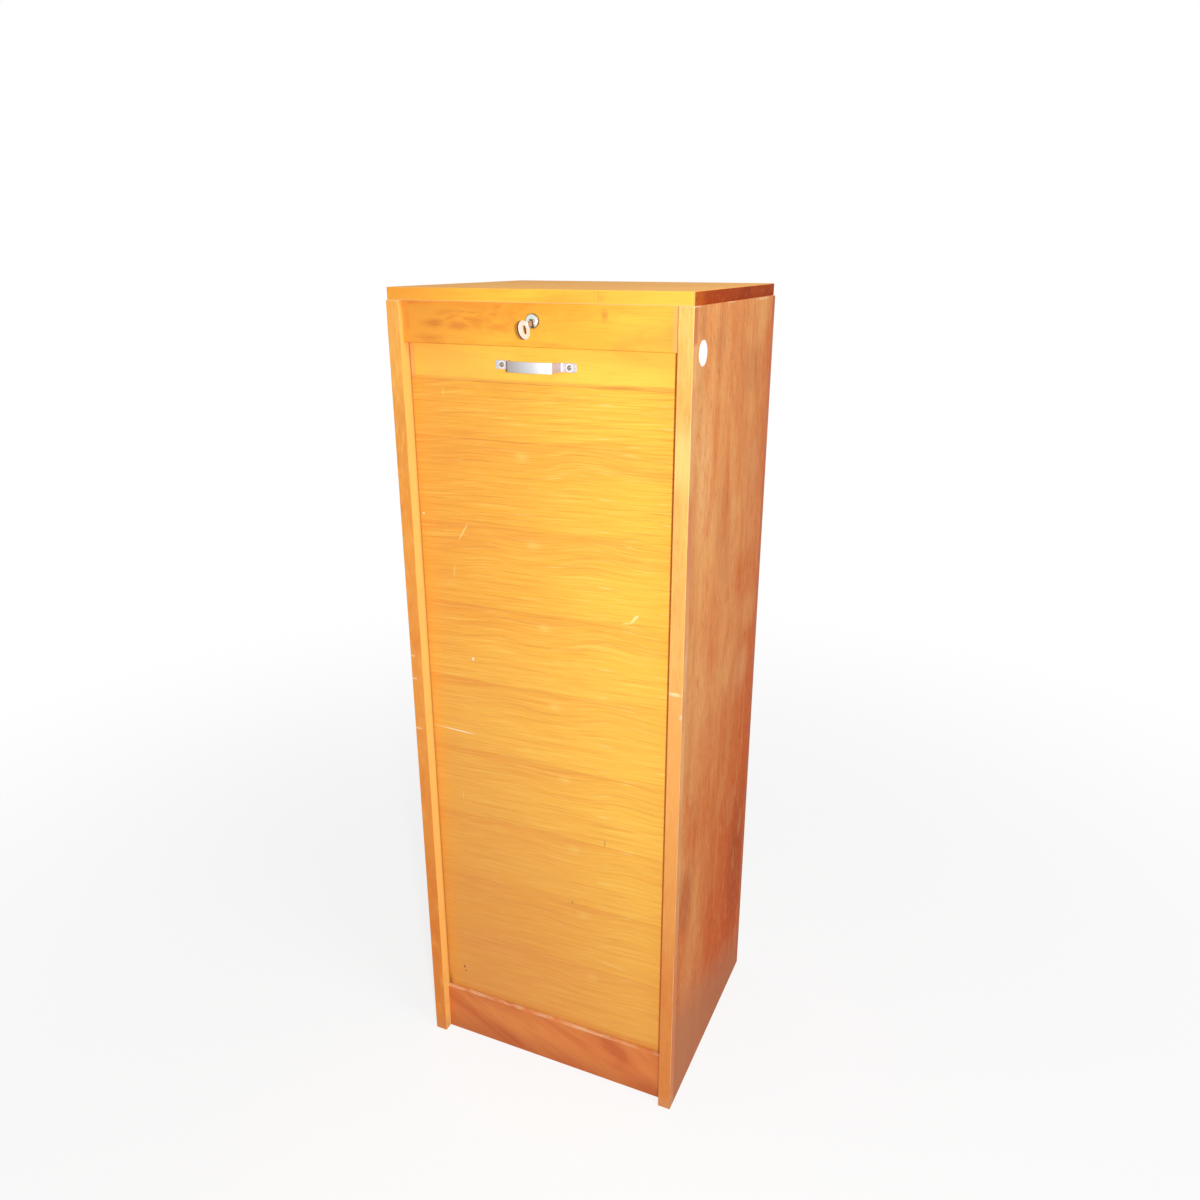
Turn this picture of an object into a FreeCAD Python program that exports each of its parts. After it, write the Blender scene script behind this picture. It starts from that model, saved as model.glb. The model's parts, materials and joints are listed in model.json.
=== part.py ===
import FreeCAD, Part
import math
import os

# Roll-top document cabinet, in millimetres. X is across the front, Y runs from the front to the back and
# Z is up. The origin is the middle of the bounding box on the floor. Depths are measured back from the
# front edges of the side panels, so a depth below zero stands in front of them.

Vec = FreeCAD.Vector

# Carcass
overall_height = 1180.0
overall_width = 414.0
carcass_depth = 358.0
panel_thickness = 19.0
lipping_depth = 14.0
top_thickness = 16.0
top_side_inset = 2.5
top_lipping = 8.0
arris = 0.8

# Rails between the sides
lock_rail_height = 52.0
lock_rail_recess = 7.0
lock_rail_thickness = 18.0
rail_arris = 1.5
plinth_height = 82.0
plinth_recess = 14.0
plinth_thickness = 18.0
plinth_lip = 5.5
rear_rail_thickness = 12.0
rear_top_rail_height = 44.0
rear_bottom_rail_height = 58.0
rear_bottom_rail_lift = 3.0

# Boards inside
floor_thickness = 12.0
ceiling_thickness = 6.0
ceiling_drop = 6.0
inner_back_thickness = 4.0
back_thickness = 4.0
back_recess = 2.0
back_rebate = 8.0
back_margin = 0.5
back_lift = 12.0
board_clearance = 1.2
glue_block = 18.0
glue_block_length = 30.0

# Racks and shelves
rack_thickness = 8.0
rack_front = 46.0
rack_slot_depth = 4.0
rack_slot_pitch = 34.0
slots_per_shelf = 3
shelf_thickness = 5.0
shelf_fit = 0.2
shelf_front_setback = 2.0
finger_notch_radius = 26.0
finger_notch_offset = 8.0

# Track routed in the side panels
track_depth = 8.0
track_clearance = 0.6
track_ground_clearance = 17.4
track_bend_radius = 49.6
track_rear_margin = 20.0

# Curtain
slat_thickness = 7.0
slat_pitch = 9.3
slat_gap = 0.25
slat_arris = 0.35
slat_end_play = 1.0
canvas_thickness = 1.0
canvas_side_margin = 12.0
curtain_tail_length = 30.0
curtain_behind_lip = 0.7

# Lead rail
lead_rail_height = 46.0
lead_rail_thickness = 16.0
lead_rail_proud = 1.0
lead_rail_side_gap = 1.5
closing_gap = 0.5
bevel_width = 6.0
bevel_depth = 1.2
canvas_rebate_height = 18.0
batten_margin = 0.3

# Pull handle
handle_offset = -3.5
handle_length = 113.0
handle_screw_spacing = 94.0
handle_foot_length = 21.9
handle_grip_length = 59.6
handle_height = 22.5
handle_crown = 2.5
handle_width = 13.4
handle_foot_width = 11.0
handle_thickness = 1.6
handle_bend_radius = 1.8
handle_foot_radius = 3.0
handle_foot_corner = 2.5

# Wood screws with slotted heads
screw_radius = 1.5
screw_head_radius = 3.4
screw_head_height = 1.8
screw_slot_width = 0.9
screw_slot_depth = 0.8
screw_clearance = 0.05
screw_end_clearance = 1.0
handle_screw_length = 12.0
keeper_screw_length = 11.0
back_screw_length = 12.0
back_screw_inset = 4.0
back_screws_per_side = 5
back_screw_end_margin = 60.0

# Cam lock
lock_face_drop = 21.0
lock_face_radius = 8.8
lock_face_stand = 3.0
lock_face_chamfer = 0.8
barrel_radius = 8.0
plug_radius = 4.6
plug_drop = 2.8
plug_clearance = 0.05
plug_face_setback = 0.3
nut_across_flats = 21.0
nut_thickness = 4.0
nut_clearance = 0.1
cam_thickness = 2.0
cam_clearance = 0.3
cam_boss_radius = 7.5
cam_width = 8.0
cam_reach = 24.0
cam_square = 6.0
cam_screw_head_radius = 4.5
cam_screw_head_height = 2.2
cam_screw_length = 8.0
keyway_width = 2.4
keyway_height = 7.8
key_turn = 12.0

# Key
key_thickness = 2.0
key_blade_height = 7.0
key_blade_length = 23.0
key_stem = 23.0
key_bow_length = 28.4
key_bow_height = 22.2
key_bow_drop = 6.2
key_hole_width = 5.8
key_hole_height = 9.3
key_hole_offset = 1.3
key_cuts = (1.4, 2.4, 0.9, 1.9)
key_cut_pitch = 4.0
key_cut_start = 4.5
key_cut_flat = 1.2

# Keeper, a hook of bent plate on the back of the lead rail
keeper_thickness = 1.5
keeper_width = 12.0
keeper_cam_overlap = 7.0
keeper_cam_gap = 1.0
keeper_hook_depth = 6.8
keeper_bend_radius = 2.0
keeper_foot_margin = 2.5
keeper_screw_pitch = 12.0
keeper_screw_margin = 5.0

# Paper dot on the right side
dot_radius = 15.0
dot_thickness = 0.3
dot_depth = 35.7
dot_drop = 53.4

# Worked out from the sizes above
half_width = overall_width / 2
inner_half = half_width - panel_thickness
panel_height = overall_height - top_thickness
lock_face_depth = lock_rail_recess - lock_face_stand
key_reach = key_stem + key_bow_length / 2 - lock_face_depth
front_y = (key_reach - carcass_depth) / 2
back_y = front_y + carcass_depth

lock_rail_bottom = panel_height - lock_rail_height
lead_rail_top = lock_rail_bottom - closing_gap
lead_rail_bottom = lead_rail_top - lead_rail_height

slat_face = plinth_recess + plinth_lip + curtain_behind_lip
slat_back = slat_face + slat_thickness
track_wall = slat_face - track_clearance
track_width = slat_thickness + canvas_thickness + 2 * track_clearance
bend_depth = track_wall + track_bend_radius
bend_height = track_ground_clearance + track_bend_radius
rear_bend_depth = carcass_depth - track_rear_margin - track_bend_radius
neutral_radius = bend_depth - slat_back

floor_top = plinth_height
behind_curtain = slat_back + canvas_thickness + board_clearance
rack_top = lock_rail_bottom - ceiling_drop - ceiling_thickness
inner_back_face = carcass_depth - track_rear_margin - track_width - board_clearance - inner_back_thickness
inner_rear = inner_back_face + inner_back_thickness
back_face = carcass_depth - back_recess - back_thickness

lead_rail_face = slat_face - lead_rail_proud
lead_rail_back = lead_rail_face + lead_rail_thickness
curtain_travel = lead_rail_bottom - floor_top - closing_gap

lock_face_z = panel_height - lock_face_drop
plug_z = lock_face_z - plug_drop
keeper_x = cam_reach - keeper_cam_overlap
cam_depth = lead_rail_back + keeper_thickness + cam_clearance


def depth(value):
    """Y of a depth behind the front edges of the side panels."""
    return front_y + value


def board(x0, x1, d0, d1, z0, z1):
    """Square-edged board between two X values, two depths and two heights."""
    return Part.makeBox(x1 - x0, d1 - d0, z1 - z0, Vec(x0, depth(d0), z0))


def rod(x, z, radius, d0, d1):
    """Round bar along Y between two depths."""
    return Part.makeCylinder(radius, d1 - d0, Vec(x, depth(d0), z), Vec(0, 1, 0))


def bar_across(d, z, radius, x0, x1):
    """Round bar along X."""
    return Part.makeCylinder(radius, x1 - x0, Vec(x0, depth(d), z), Vec(1, 0, 0))


def outline(points, radii=None):
    """Edges of a closed outline whose corners may be rounded, each by its own radius."""
    count = len(points)
    radii = radii or [0] * count
    starts, ends, edges = [], [], []
    for i, corner in enumerate(points):
        before = (points[i - 1] - corner).normalize()
        after = (points[(i + 1) % count] - corner).normalize()
        if radii[i] == 0:
            starts.append(corner)
            ends.append(corner)
            continue
        half = before.getAngle(after) / 2
        reach = radii[i] / math.tan(half)
        starts.append(corner + before * reach)
        ends.append(corner + after * reach)
        toward = (before + after).normalize()
        middle = corner + toward * (radii[i] / math.sin(half) - radii[i])
        edges.append(Part.Arc(starts[-1], middle, ends[-1]).toShape())
    for i in range(count):
        nxt = (i + 1) % count
        if (starts[nxt] - ends[i]).Length > 1e-6:
            edges.append(Part.makeLine(ends[i], starts[nxt]))
    return edges


def prism(points, direction, radii=None):
    """Solid made by moving a closed outline along a direction."""
    wire = Part.Wire(Part.__sortEdges__(outline(points, radii)))
    return Part.Face(wire).extrude(direction)


def side_profile(points, x0, x1, radii=None):
    """Solid along X from a profile of (depth, height) points."""
    corners = [Vec(x0, depth(d), z) for d, z in points]
    return prism(corners, Vec(x1 - x0, 0, 0), radii)


def track_edges(offset, top):
    """The U-shaped line that lies a given distance inside the track's outer wall, from front to back."""
    front = depth(track_wall + offset)
    rear = depth(carcass_depth - track_rear_margin - offset)
    near, far = depth(bend_depth), depth(rear_bend_depth)
    radius = track_bend_radius - offset
    low = bend_height - radius
    slant = radius * math.sqrt(0.5)
    return [
        Part.makeLine(Vec(0, front, top), Vec(0, front, bend_height)),
        Part.Arc(
            Vec(0, front, bend_height),
            Vec(0, near - slant, bend_height - slant),
            Vec(0, near, low),
        ).toShape(),
        Part.makeLine(Vec(0, near, low), Vec(0, far, low)),
        Part.Arc(
            Vec(0, far, low),
            Vec(0, far + slant, bend_height - slant),
            Vec(0, rear, bend_height),
        ).toShape(),
        Part.makeLine(Vec(0, rear, bend_height), Vec(0, rear, top)),
    ]


def track_cut(side):
    """The groove that the curtain's ends run in, cut into the inner face of one side panel."""
    outer = track_edges(0, panel_height)
    inner = track_edges(track_width, panel_height)
    caps = [
        Part.makeLine(outer[0].Vertexes[0].Point, inner[0].Vertexes[0].Point),
        Part.makeLine(outer[-1].Vertexes[-1].Point, inner[-1].Vertexes[-1].Point),
    ]
    face = Part.Face(Part.Wire(Part.__sortEdges__(outer + inner + caps)))
    face.translate(Vec(side * inner_half, 0, 0))
    return face.extrude(Vec(side * track_depth, 0, 0))


def slot_cut(x, z, d, along_x=True):
    """The driver slot in the face of a screw head that looks to the front."""
    length = 3 * screw_head_radius
    wide, high = (length, screw_slot_width) if along_x else (screw_slot_width, length)
    return board(x - wide / 2, x + wide / 2, d - 1, d + screw_slot_depth, z - high / 2, z + high / 2)


def front_screw(x, z, seat, length, along_x=True):
    """Round-headed screw driven from the front, whose head sits on the surface at depth seat."""
    head = rod(x, z, screw_head_radius, seat - screw_head_height, seat)
    rim = [e for e in head.Edges if abs(e.BoundBox.YMax - depth(seat - screw_head_height)) < 1e-6]
    head = head.makeFillet(screw_head_height * 0.6, rim)
    head = head.cut(slot_cut(x, z, seat - screw_head_height, along_x))
    return head.fuse(rod(x, z, screw_radius, seat, seat + length)).removeSplitter()


def back_screw(x, z, seat, length, along_x=True):
    """The same screw driven from behind."""
    screw = front_screw(x, z, seat, length, along_x)
    return screw.mirror(Vec(0, depth(seat), 0), Vec(0, 1, 0))


def screw_hole(x, z, d0, d1):
    return rod(x, z, screw_radius + screw_clearance, d0, d1)


def back_screw_places():
    """Where the back panel is screwed to the two sides."""
    low = back_lift + back_screw_end_margin
    high = panel_height - back_screw_end_margin
    step = (high - low) / (back_screws_per_side - 1)
    x = inner_half + back_screw_inset
    return [(side * x, low + i * step) for side in (-1, 1) for i in range(back_screws_per_side)]


def back_screw_holes():
    screws = [
        screw_hole(x, z, back_face + back_thickness - back_screw_length, carcass_depth)
        for x, z in back_screw_places()
    ]
    return Part.makeCompound(screws)


def side_panel(side):
    """Veneered board between its two lippings, with the curtain's track routed in its inner face."""
    x0, x1 = sorted((side * inner_half, side * half_width))
    panel = board(x0, x1, lipping_depth, carcass_depth - lipping_depth, 0, panel_height)
    return panel.cut(track_cut(side)).cut(back_screw_holes())


def front_lipping(side):
    x0, x1 = sorted((side * inner_half, side * half_width))
    strip = board(x0, x1, 0, lipping_depth, 0, panel_height)
    front = [e for e in strip.Edges if abs(e.BoundBox.YMax - depth(0)) < 1e-6]
    return strip.makeFillet(arris, [e for e in front if e.BoundBox.ZLength > arris])


def rear_lipping(side):
    """Solid strip on the back edge, rebated inside for the back panel."""
    x0, x1 = sorted((side * inner_half, side * half_width))
    strip = board(x0, x1, carcass_depth - lipping_depth, carcass_depth, 0, panel_height)
    r0, r1 = sorted((side * inner_half, side * (inner_half + back_rebate)))
    rebate = board(r0, r1, back_face, carcass_depth, 0, panel_height)
    return strip.cut(rebate).cut(back_screw_holes())


def top_pieces():
    """Top board and the three lippings round its front and sides."""
    half = half_width - top_side_inset
    z0, z1 = panel_height, overall_height
    core = board(-half + top_lipping, half - top_lipping, top_lipping, carcass_depth, z0, z1)
    front = board(-half, half, 0, top_lipping, z0, z1)
    edges = [e for e in front.Edges if abs(e.BoundBox.YMax - depth(0)) < 1e-6]
    front = front.makeFillet(arris, edges)
    left = board(-half, -half + top_lipping, top_lipping, carcass_depth, z0, z1)
    right = board(half - top_lipping, half, top_lipping, carcass_depth, z0, z1)
    return {
        "top_board": core,
        "top_front_lipping": front,
        "top_left_lipping": left,
        "top_right_lipping": right,
    }


def lock_rail():
    """Fixed rail over the curtain, bored for the lock, with its lower front arris eased."""
    d0, d1 = lock_rail_recess, lock_rail_recess + lock_rail_thickness
    points = [(d0, lock_rail_bottom), (d1, lock_rail_bottom), (d1, panel_height), (d0, panel_height)]
    rail = side_profile(points, -inner_half, inner_half, [rail_arris, 0, 0, 0])
    return rail.cut(rod(0, lock_face_z, barrel_radius + nut_clearance, d0 - 1, d1 + 1))


def plinth_rail():
    """Plinth board, thin at its lip and coved behind so that the curtain can turn under the floor."""
    d0, lip = plinth_recess, plinth_recess + plinth_lip
    d1 = plinth_recess + plinth_thickness
    cove = bend_depth - lip
    swing = math.acos((bend_depth - d1) / cove)
    toe = bend_height - cove * math.sin(swing)
    middle = Vec(
        -inner_half,
        depth(bend_depth - cove * math.cos(swing / 2)),
        bend_height - cove * math.sin(swing / 2),
    )
    corners = [
        Vec(-inner_half, depth(d), z)
        for d, z in [(lip, bend_height), (lip, plinth_height), (d0, plinth_height),
                     (d0, 0), (d1, 0), (d1, toe)]
    ]
    edges = [Part.makeLine(a, b) for a, b in zip(corners, corners[1:])]
    edges.append(Part.Arc(corners[-1], middle, corners[0]).toShape())
    rail = Part.Face(Part.Wire(edges)).extrude(Vec(2 * inner_half, 0, 0))
    nose = [e for e in rail.Edges
            if abs(e.BoundBox.YMax - depth(d0)) < 1e-6 and abs(e.BoundBox.ZMin - plinth_height) < 1e-6]
    return rail.makeFillet(rail_arris, nose)


def rear_rails():
    d0, d1 = back_face - rear_rail_thickness, back_face
    wide, low = inner_half, rear_bottom_rail_lift
    return {
        "rear_top_rail": board(-wide, wide, d0, d1, panel_height - rear_top_rail_height, panel_height),
        "rear_bottom_rail": board(-wide, wide, d0, d1, low, low + rear_bottom_rail_height),
    }


def inside_boards():
    """The curtain runs under the floor and up between the inner back and the back panel."""
    back_edge = inner_half + back_rebate - back_margin
    back = board(-back_edge, back_edge, back_face, back_face + back_thickness, back_lift, panel_height)
    wide, under = inner_half, floor_top - floor_thickness
    return {
        "floor_board": board(-wide, wide, behind_curtain, inner_rear, under, floor_top),
        "ceiling_board": board(-wide, wide, rack_front, inner_rear, rack_top, rack_top + ceiling_thickness),
        "inner_back": board(-wide, wide, inner_back_face, inner_rear, floor_top, rack_top),
        "back_panel": back.cut(back_screw_holes()),
    }


def glue_blocks():
    """Three-cornered blocks that hold the top board to the sides."""
    z = panel_height
    blocks = []
    for d0 in (behind_curtain, inner_rear - glue_block_length):
        for side in (-1, 1):
            x, y = side * inner_half, depth(d0)
            points = [Vec(x, y, z), Vec(x - side * glue_block, y, z), Vec(x, y, z - glue_block)]
            blocks.append(prism(points, Vec(0, glue_block_length, 0)))
    return Part.makeCompound(blocks)


def slot_heights():
    count = int((rack_top - floor_top - rack_slot_pitch / 2) / rack_slot_pitch)
    return [floor_top + (i + 1) * rack_slot_pitch for i in range(count)]


def rack(side):
    """Slotted board inside each side panel."""
    x0, x1 = sorted((side * inner_half, side * (inner_half - rack_thickness)))
    plank = board(x0, x1, rack_front, inner_back_face, floor_top, rack_top)
    inner = inner_half - rack_thickness
    s0, s1 = sorted((side * inner, side * (inner + rack_slot_depth)))
    half = shelf_thickness / 2 + shelf_fit
    slots = [board(s0, s1, rack_front, inner_back_face, z - half, z + half) for z in slot_heights()]
    return plank.cut(Part.makeCompound(slots))


def shelf(z):
    """Thin shelf in a pair of slots, with a finger notch in its front edge."""
    half = inner_half - rack_thickness + rack_slot_depth - shelf_fit
    front = rack_front + shelf_front_setback
    z0 = z - shelf_thickness / 2 - shelf_fit
    plank = board(-half, half, front, inner_back_face, z0, z0 + shelf_thickness)
    centre = Vec(0, depth(front - finger_notch_offset), z0)
    return plank.cut(Part.makeCylinder(finger_notch_radius, shelf_thickness, centre))


def slats():
    """The curtain's strips. The lowest ones already follow the bend of the track behind the plinth."""
    straight = lead_rail_bottom - bend_height
    half = inner_half + track_depth - slat_end_play
    reach = slat_pitch / 2 - slat_gap / 2
    front, eased = -slat_thickness, -slat_thickness + slat_arris
    profile = [(0, -reach), (0, reach), (eased, reach), (front, reach - slat_arris),
               (front, -reach + slat_arris), (eased, -reach)]
    strips = []
    for i in range(int((straight + curtain_tail_length) / slat_pitch)):
        along = (i + 0.5) * slat_pitch
        strip = prism([Vec(-half, y, z) for y, z in profile], Vec(2 * half, 0, 0))
        angle = max(0.0, along - straight) / neutral_radius
        if angle == 0:
            place = Vec(0, depth(slat_back), lead_rail_bottom - along)
        else:
            place = Vec(0, depth(bend_depth) - neutral_radius * math.cos(angle),
                        bend_height - neutral_radius * math.sin(angle))
        turn = FreeCAD.Rotation(Vec(1, 0, 0), math.degrees(angle))
        strip.Placement = FreeCAD.Placement(place, turn)
        strips.append(strip)
    return Part.makeCompound(strips)


def canvas():
    """Cloth behind the strips, clamped in the lead rail's rebate and bent with the tail."""
    half = inner_half - canvas_side_margin
    angle = curtain_tail_length / neutral_radius
    x = -half
    centre = Vec(x, depth(bend_depth), bend_height)

    def at(radius, turn):
        return centre + Vec(0, -radius * math.cos(turn), -radius * math.sin(turn))

    outer, inner = neutral_radius, neutral_radius - canvas_thickness
    top = lead_rail_bottom + canvas_rebate_height
    front, rear = depth(slat_back), depth(slat_back + canvas_thickness)
    edges = [
        Part.makeLine(Vec(x, rear, top), Vec(x, front, top)),
        Part.makeLine(Vec(x, front, top), at(outer, 0)),
        Part.Arc(at(outer, 0), at(outer, angle / 2), at(outer, angle)).toShape(),
        Part.makeLine(at(outer, angle), at(inner, angle)),
        Part.Arc(at(inner, angle), at(inner, angle / 2), at(inner, 0)).toShape(),
        Part.makeLine(at(inner, 0), Vec(x, rear, top)),
    ]
    return Part.Face(Part.Wire(edges)).extrude(Vec(2 * half, 0, 0))


def lead_rail():
    """Top rail of the curtain: tongues at its ends run in the tracks, and its front is bevelled."""
    half = inner_half - lead_rail_side_gap
    d0, d1, z0, z1 = lead_rail_face, lead_rail_back, lead_rail_bottom, lead_rail_top
    rail = board(-half, half, d0, d1, z0, z1)
    bottom = side_profile([(d0, z0), (d0 + bevel_depth, z0), (d0, z0 + bevel_width)], -half, half)
    rail = rail.cut(bottom)
    for side in (-1, 1):
        corners = [Vec(side * half, depth(d0), z0), Vec(side * half, depth(d0 + bevel_depth), z0),
                   Vec(side * (half - bevel_width), depth(d0), z0)]
        rail = rail.cut(prism(corners, Vec(0, 0, z1 - z0)))
    tongue = inner_half + track_depth - slat_end_play
    tongue_back = slat_back + canvas_thickness
    rail = rail.fuse(board(-tongue, tongue, d0 + bevel_depth, tongue_back, z0, z1))
    rail = rail.cut(board(-tongue, tongue, slat_back, d1, z0, z0 + canvas_rebate_height)).removeSplitter()
    for x in handle_screw_places():
        rail = rail.cut(screw_hole(x, handle_z(), d0, d0 + handle_screw_length))
    for z in keeper_screw_heights():
        rail = rail.cut(screw_hole(keeper_middle(), z, d1 - keeper_screw_length, d1))
    return rail


def canvas_batten():
    """Strip that clamps the canvas in the lead rail's rebate."""
    half, front = inner_half - canvas_side_margin, slat_back + canvas_thickness
    z0 = lead_rail_bottom + batten_margin
    z1 = lead_rail_bottom + canvas_rebate_height - batten_margin
    return board(-half, half, front, lead_rail_back, z0, z1)


def handle_z():
    return lead_rail_bottom + lead_rail_height / 2


def handle_screw_places():
    return [handle_offset + side * handle_screw_spacing / 2 for side in (-1, 1)]


def handle():
    """Strap pull bent from sheet: a bent ribbon trimmed to the flat pattern's outline, then drilled."""
    half, foot = handle_length / 2, handle_length / 2 - handle_foot_length
    grip = handle_grip_length / 2
    high = handle_height - handle_thickness - handle_crown
    peak = high + 2 * handle_crown
    line = [(-half, 0), (-foot, 0), (-grip, high), (0, peak), (grip, high), (foot, 0), (half, 0)]
    # The arc of the crown takes up nine tenths of the way from the middle to either bend
    crown_radius = 0.9 * math.hypot(grip, peak - high) * grip / (peak - high)
    under = [handle_foot_radius + handle_thickness, handle_bend_radius, crown_radius]
    over = [handle_foot_radius, handle_bend_radius + handle_thickness, crown_radius + handle_thickness]
    radii = [0] + under + under[1::-1] + [0, 0] + over + over[1::-1] + [0]
    z = handle_z()
    bottom = z - handle_width / 2
    section = [
        Vec(handle_offset + x, depth(lead_rail_face) - y, bottom)
        for x, y in line + offset_line(line, handle_thickness)[::-1]
    ]
    strap = prism(section, Vec(0, 0, handle_width), radii)
    wide, slim = handle_width / 2, handle_foot_width / 2
    pattern = [(-half, -slim), (-foot, -slim), (-grip, -wide), (grip, -wide), (foot, -slim), (half, -slim),
               (half, slim), (foot, slim), (grip, wide), (-grip, wide), (-foot, slim), (-half, slim)]
    corner = handle_foot_corner
    corners = [corner, 0, 0, 0, 0, corner, corner, 0, 0, 0, 0, corner]
    start = depth(lead_rail_face) - handle_height - 2 * handle_thickness
    face = [Vec(handle_offset + x, start, z + y) for x, y in pattern]
    strap = strap.common(prism(face, Vec(0, handle_height + 3 * handle_thickness, 0), corners))
    for x in handle_screw_places():
        strap = strap.cut(screw_hole(x, z, lead_rail_face - handle_thickness, lead_rail_face))
    return strap


def offset_line(line, offset):
    """A bent line moved sideways by an offset, with mitred corners."""
    moved = []
    for i, (x, y) in enumerate(line):
        here = Vec(x, y, 0)
        before = (here - Vec(*line[i - 1], 0)).normalize() if i else None
        after = (Vec(*line[i + 1], 0) - here).normalize() if i + 1 < len(line) else None
        before, after = before or after, after or before
        normal = Vec(-before.y - after.y, before.x + after.x, 0).normalize()
        stretch = normal.dot(Vec(-before.y, before.x, 0))
        point = here + normal * (offset / stretch)
        moved.append((point.x, point.y))
    return moved


def handle_screws():
    seat = lead_rail_face - handle_thickness
    return Part.makeCompound([
        front_screw(x, handle_z(), seat, handle_screw_length, along)
        for x, along in zip(handle_screw_places(), (True, False))
    ])


def keeper_middle():
    return keeper_x + keeper_width / 2


def keeper_low():
    return lead_rail_bottom + canvas_rebate_height + keeper_foot_margin


def keeper_screw_heights():
    first = keeper_low() + keeper_screw_margin
    return [first, first + keeper_screw_pitch]


def keeper():
    """Hook on the lead rail. The cam swings in under its folded top and holds the curtain up."""
    d0, d1 = lead_rail_back, lead_rail_back + keeper_thickness
    top = plug_z + cam_width / 2 + keeper_cam_gap
    tip = d0 + keeper_hook_depth
    over = top + keeper_thickness
    points = [(d0, keeper_low()), (d1, keeper_low()), (d1, top), (tip, top), (tip, over), (d0, over)]
    hook = side_profile(points, keeper_x, keeper_x + keeper_width, [0, 0, 0, 0, 0, keeper_bend_radius])
    for z in keeper_screw_heights():
        hook = hook.cut(screw_hole(keeper_middle(), z, d0, d1))
    return hook


def keeper_screws():
    seat = lead_rail_back + keeper_thickness
    length = keeper_screw_length - screw_end_clearance
    screws = [back_screw(keeper_middle(), z, seat, length) for z in keeper_screw_heights()]
    return Part.makeCompound(screws)


def turned(shape):
    """Turns a piece of the lock about the plug's axis, from slot upright to the key's place at rest."""
    shape.rotate(Vec(0, 0, plug_z), Vec(0, -1, 0), key_turn)
    return shape


def lock_housing():
    """Round-faced housing through the lock rail, with the plug's bore set low in it."""
    face = rod(0, lock_face_z, lock_face_radius, lock_face_depth, lock_rail_recess)
    rim = [e for e in face.Edges if abs(e.BoundBox.YMax - depth(lock_face_depth)) < 1e-6]
    face = face.makeChamfer(lock_face_chamfer, rim)
    barrel = rod(0, lock_face_z, barrel_radius, lock_rail_recess, cam_depth - cam_clearance)
    bore = rod(0, plug_z, plug_radius + plug_clearance, lock_face_depth - 1, cam_depth)
    return face.fuse(barrel).cut(bore).removeSplitter()


def lock_nut():
    """Hexagonal nut that clamps the housing to the back of the lock rail."""
    corner = nut_across_flats / math.sqrt(3)
    d0 = lock_rail_recess + lock_rail_thickness
    turns = [math.radians(60 * i) for i in range(6)]
    points = [Vec(corner * math.cos(a), depth(d0), lock_face_z + corner * math.sin(a)) for a in turns]
    nut = prism(points, Vec(0, nut_thickness, 0))
    return nut.cut(rod(0, lock_face_z, barrel_radius + nut_clearance, d0 - 1, d0 + nut_thickness + 1))


def lock_plug():
    """Turning plug with its keyway, a square tail for the cam and a hole for the cam's screw."""
    front = lock_face_depth + plug_face_setback
    plug = rod(0, plug_z, plug_radius, front, cam_depth)
    half = cam_square / 2
    plug = plug.fuse(board(-half, half, cam_depth, cam_depth + cam_thickness, plug_z - half, plug_z + half))
    way, high = keyway_width / 2, keyway_height / 2
    way_end = lock_face_depth + key_blade_length + 1
    plug = plug.cut(board(-way, way, front - 1, way_end, plug_z - high, plug_z + high))
    end = cam_depth + cam_thickness
    return turned(plug.cut(screw_hole(0, plug_z, end - cam_screw_length, end)).removeSplitter())


def lock_cam():
    """Flat cam on the plug's tail. It hangs down when unlocked and swings in under the keeper."""
    d0, d1 = cam_depth, cam_depth + cam_thickness
    half, tip = cam_width / 2, plug_z - math.sqrt(cam_reach ** 2 - (cam_width / 2) ** 2)
    arm = board(-half, half, d0, d1, tip, plug_z)
    low = [e for e in arm.Edges if abs(e.BoundBox.ZMax - tip) < 1e-6]
    ends = [e for e in low if e.BoundBox.YLength > cam_thickness / 2]
    cam = arm.makeFillet(half * 0.6, ends).fuse(rod(0, plug_z, cam_boss_radius, d0, d1))
    square = cam_square / 2 + screw_clearance
    hole = board(-square, square, d0, d1, plug_z - square, plug_z + square)
    return turned(cam.cut(hole).removeSplitter())


def cam_screw():
    """Pan-headed screw that holds the cam on the plug."""
    seat = cam_depth + cam_thickness
    top = seat + cam_screw_head_height
    wide, half = cam_screw_head_radius, screw_slot_width / 2
    head = rod(0, plug_z, wide, seat, top)
    slot = board(-wide, wide, top - screw_slot_depth, top, plug_z - half, plug_z + half)
    shank = rod(0, plug_z, screw_radius, seat - cam_screw_length + screw_end_clearance, seat)
    return turned(head.cut(slot).fuse(shank).removeSplitter())


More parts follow.
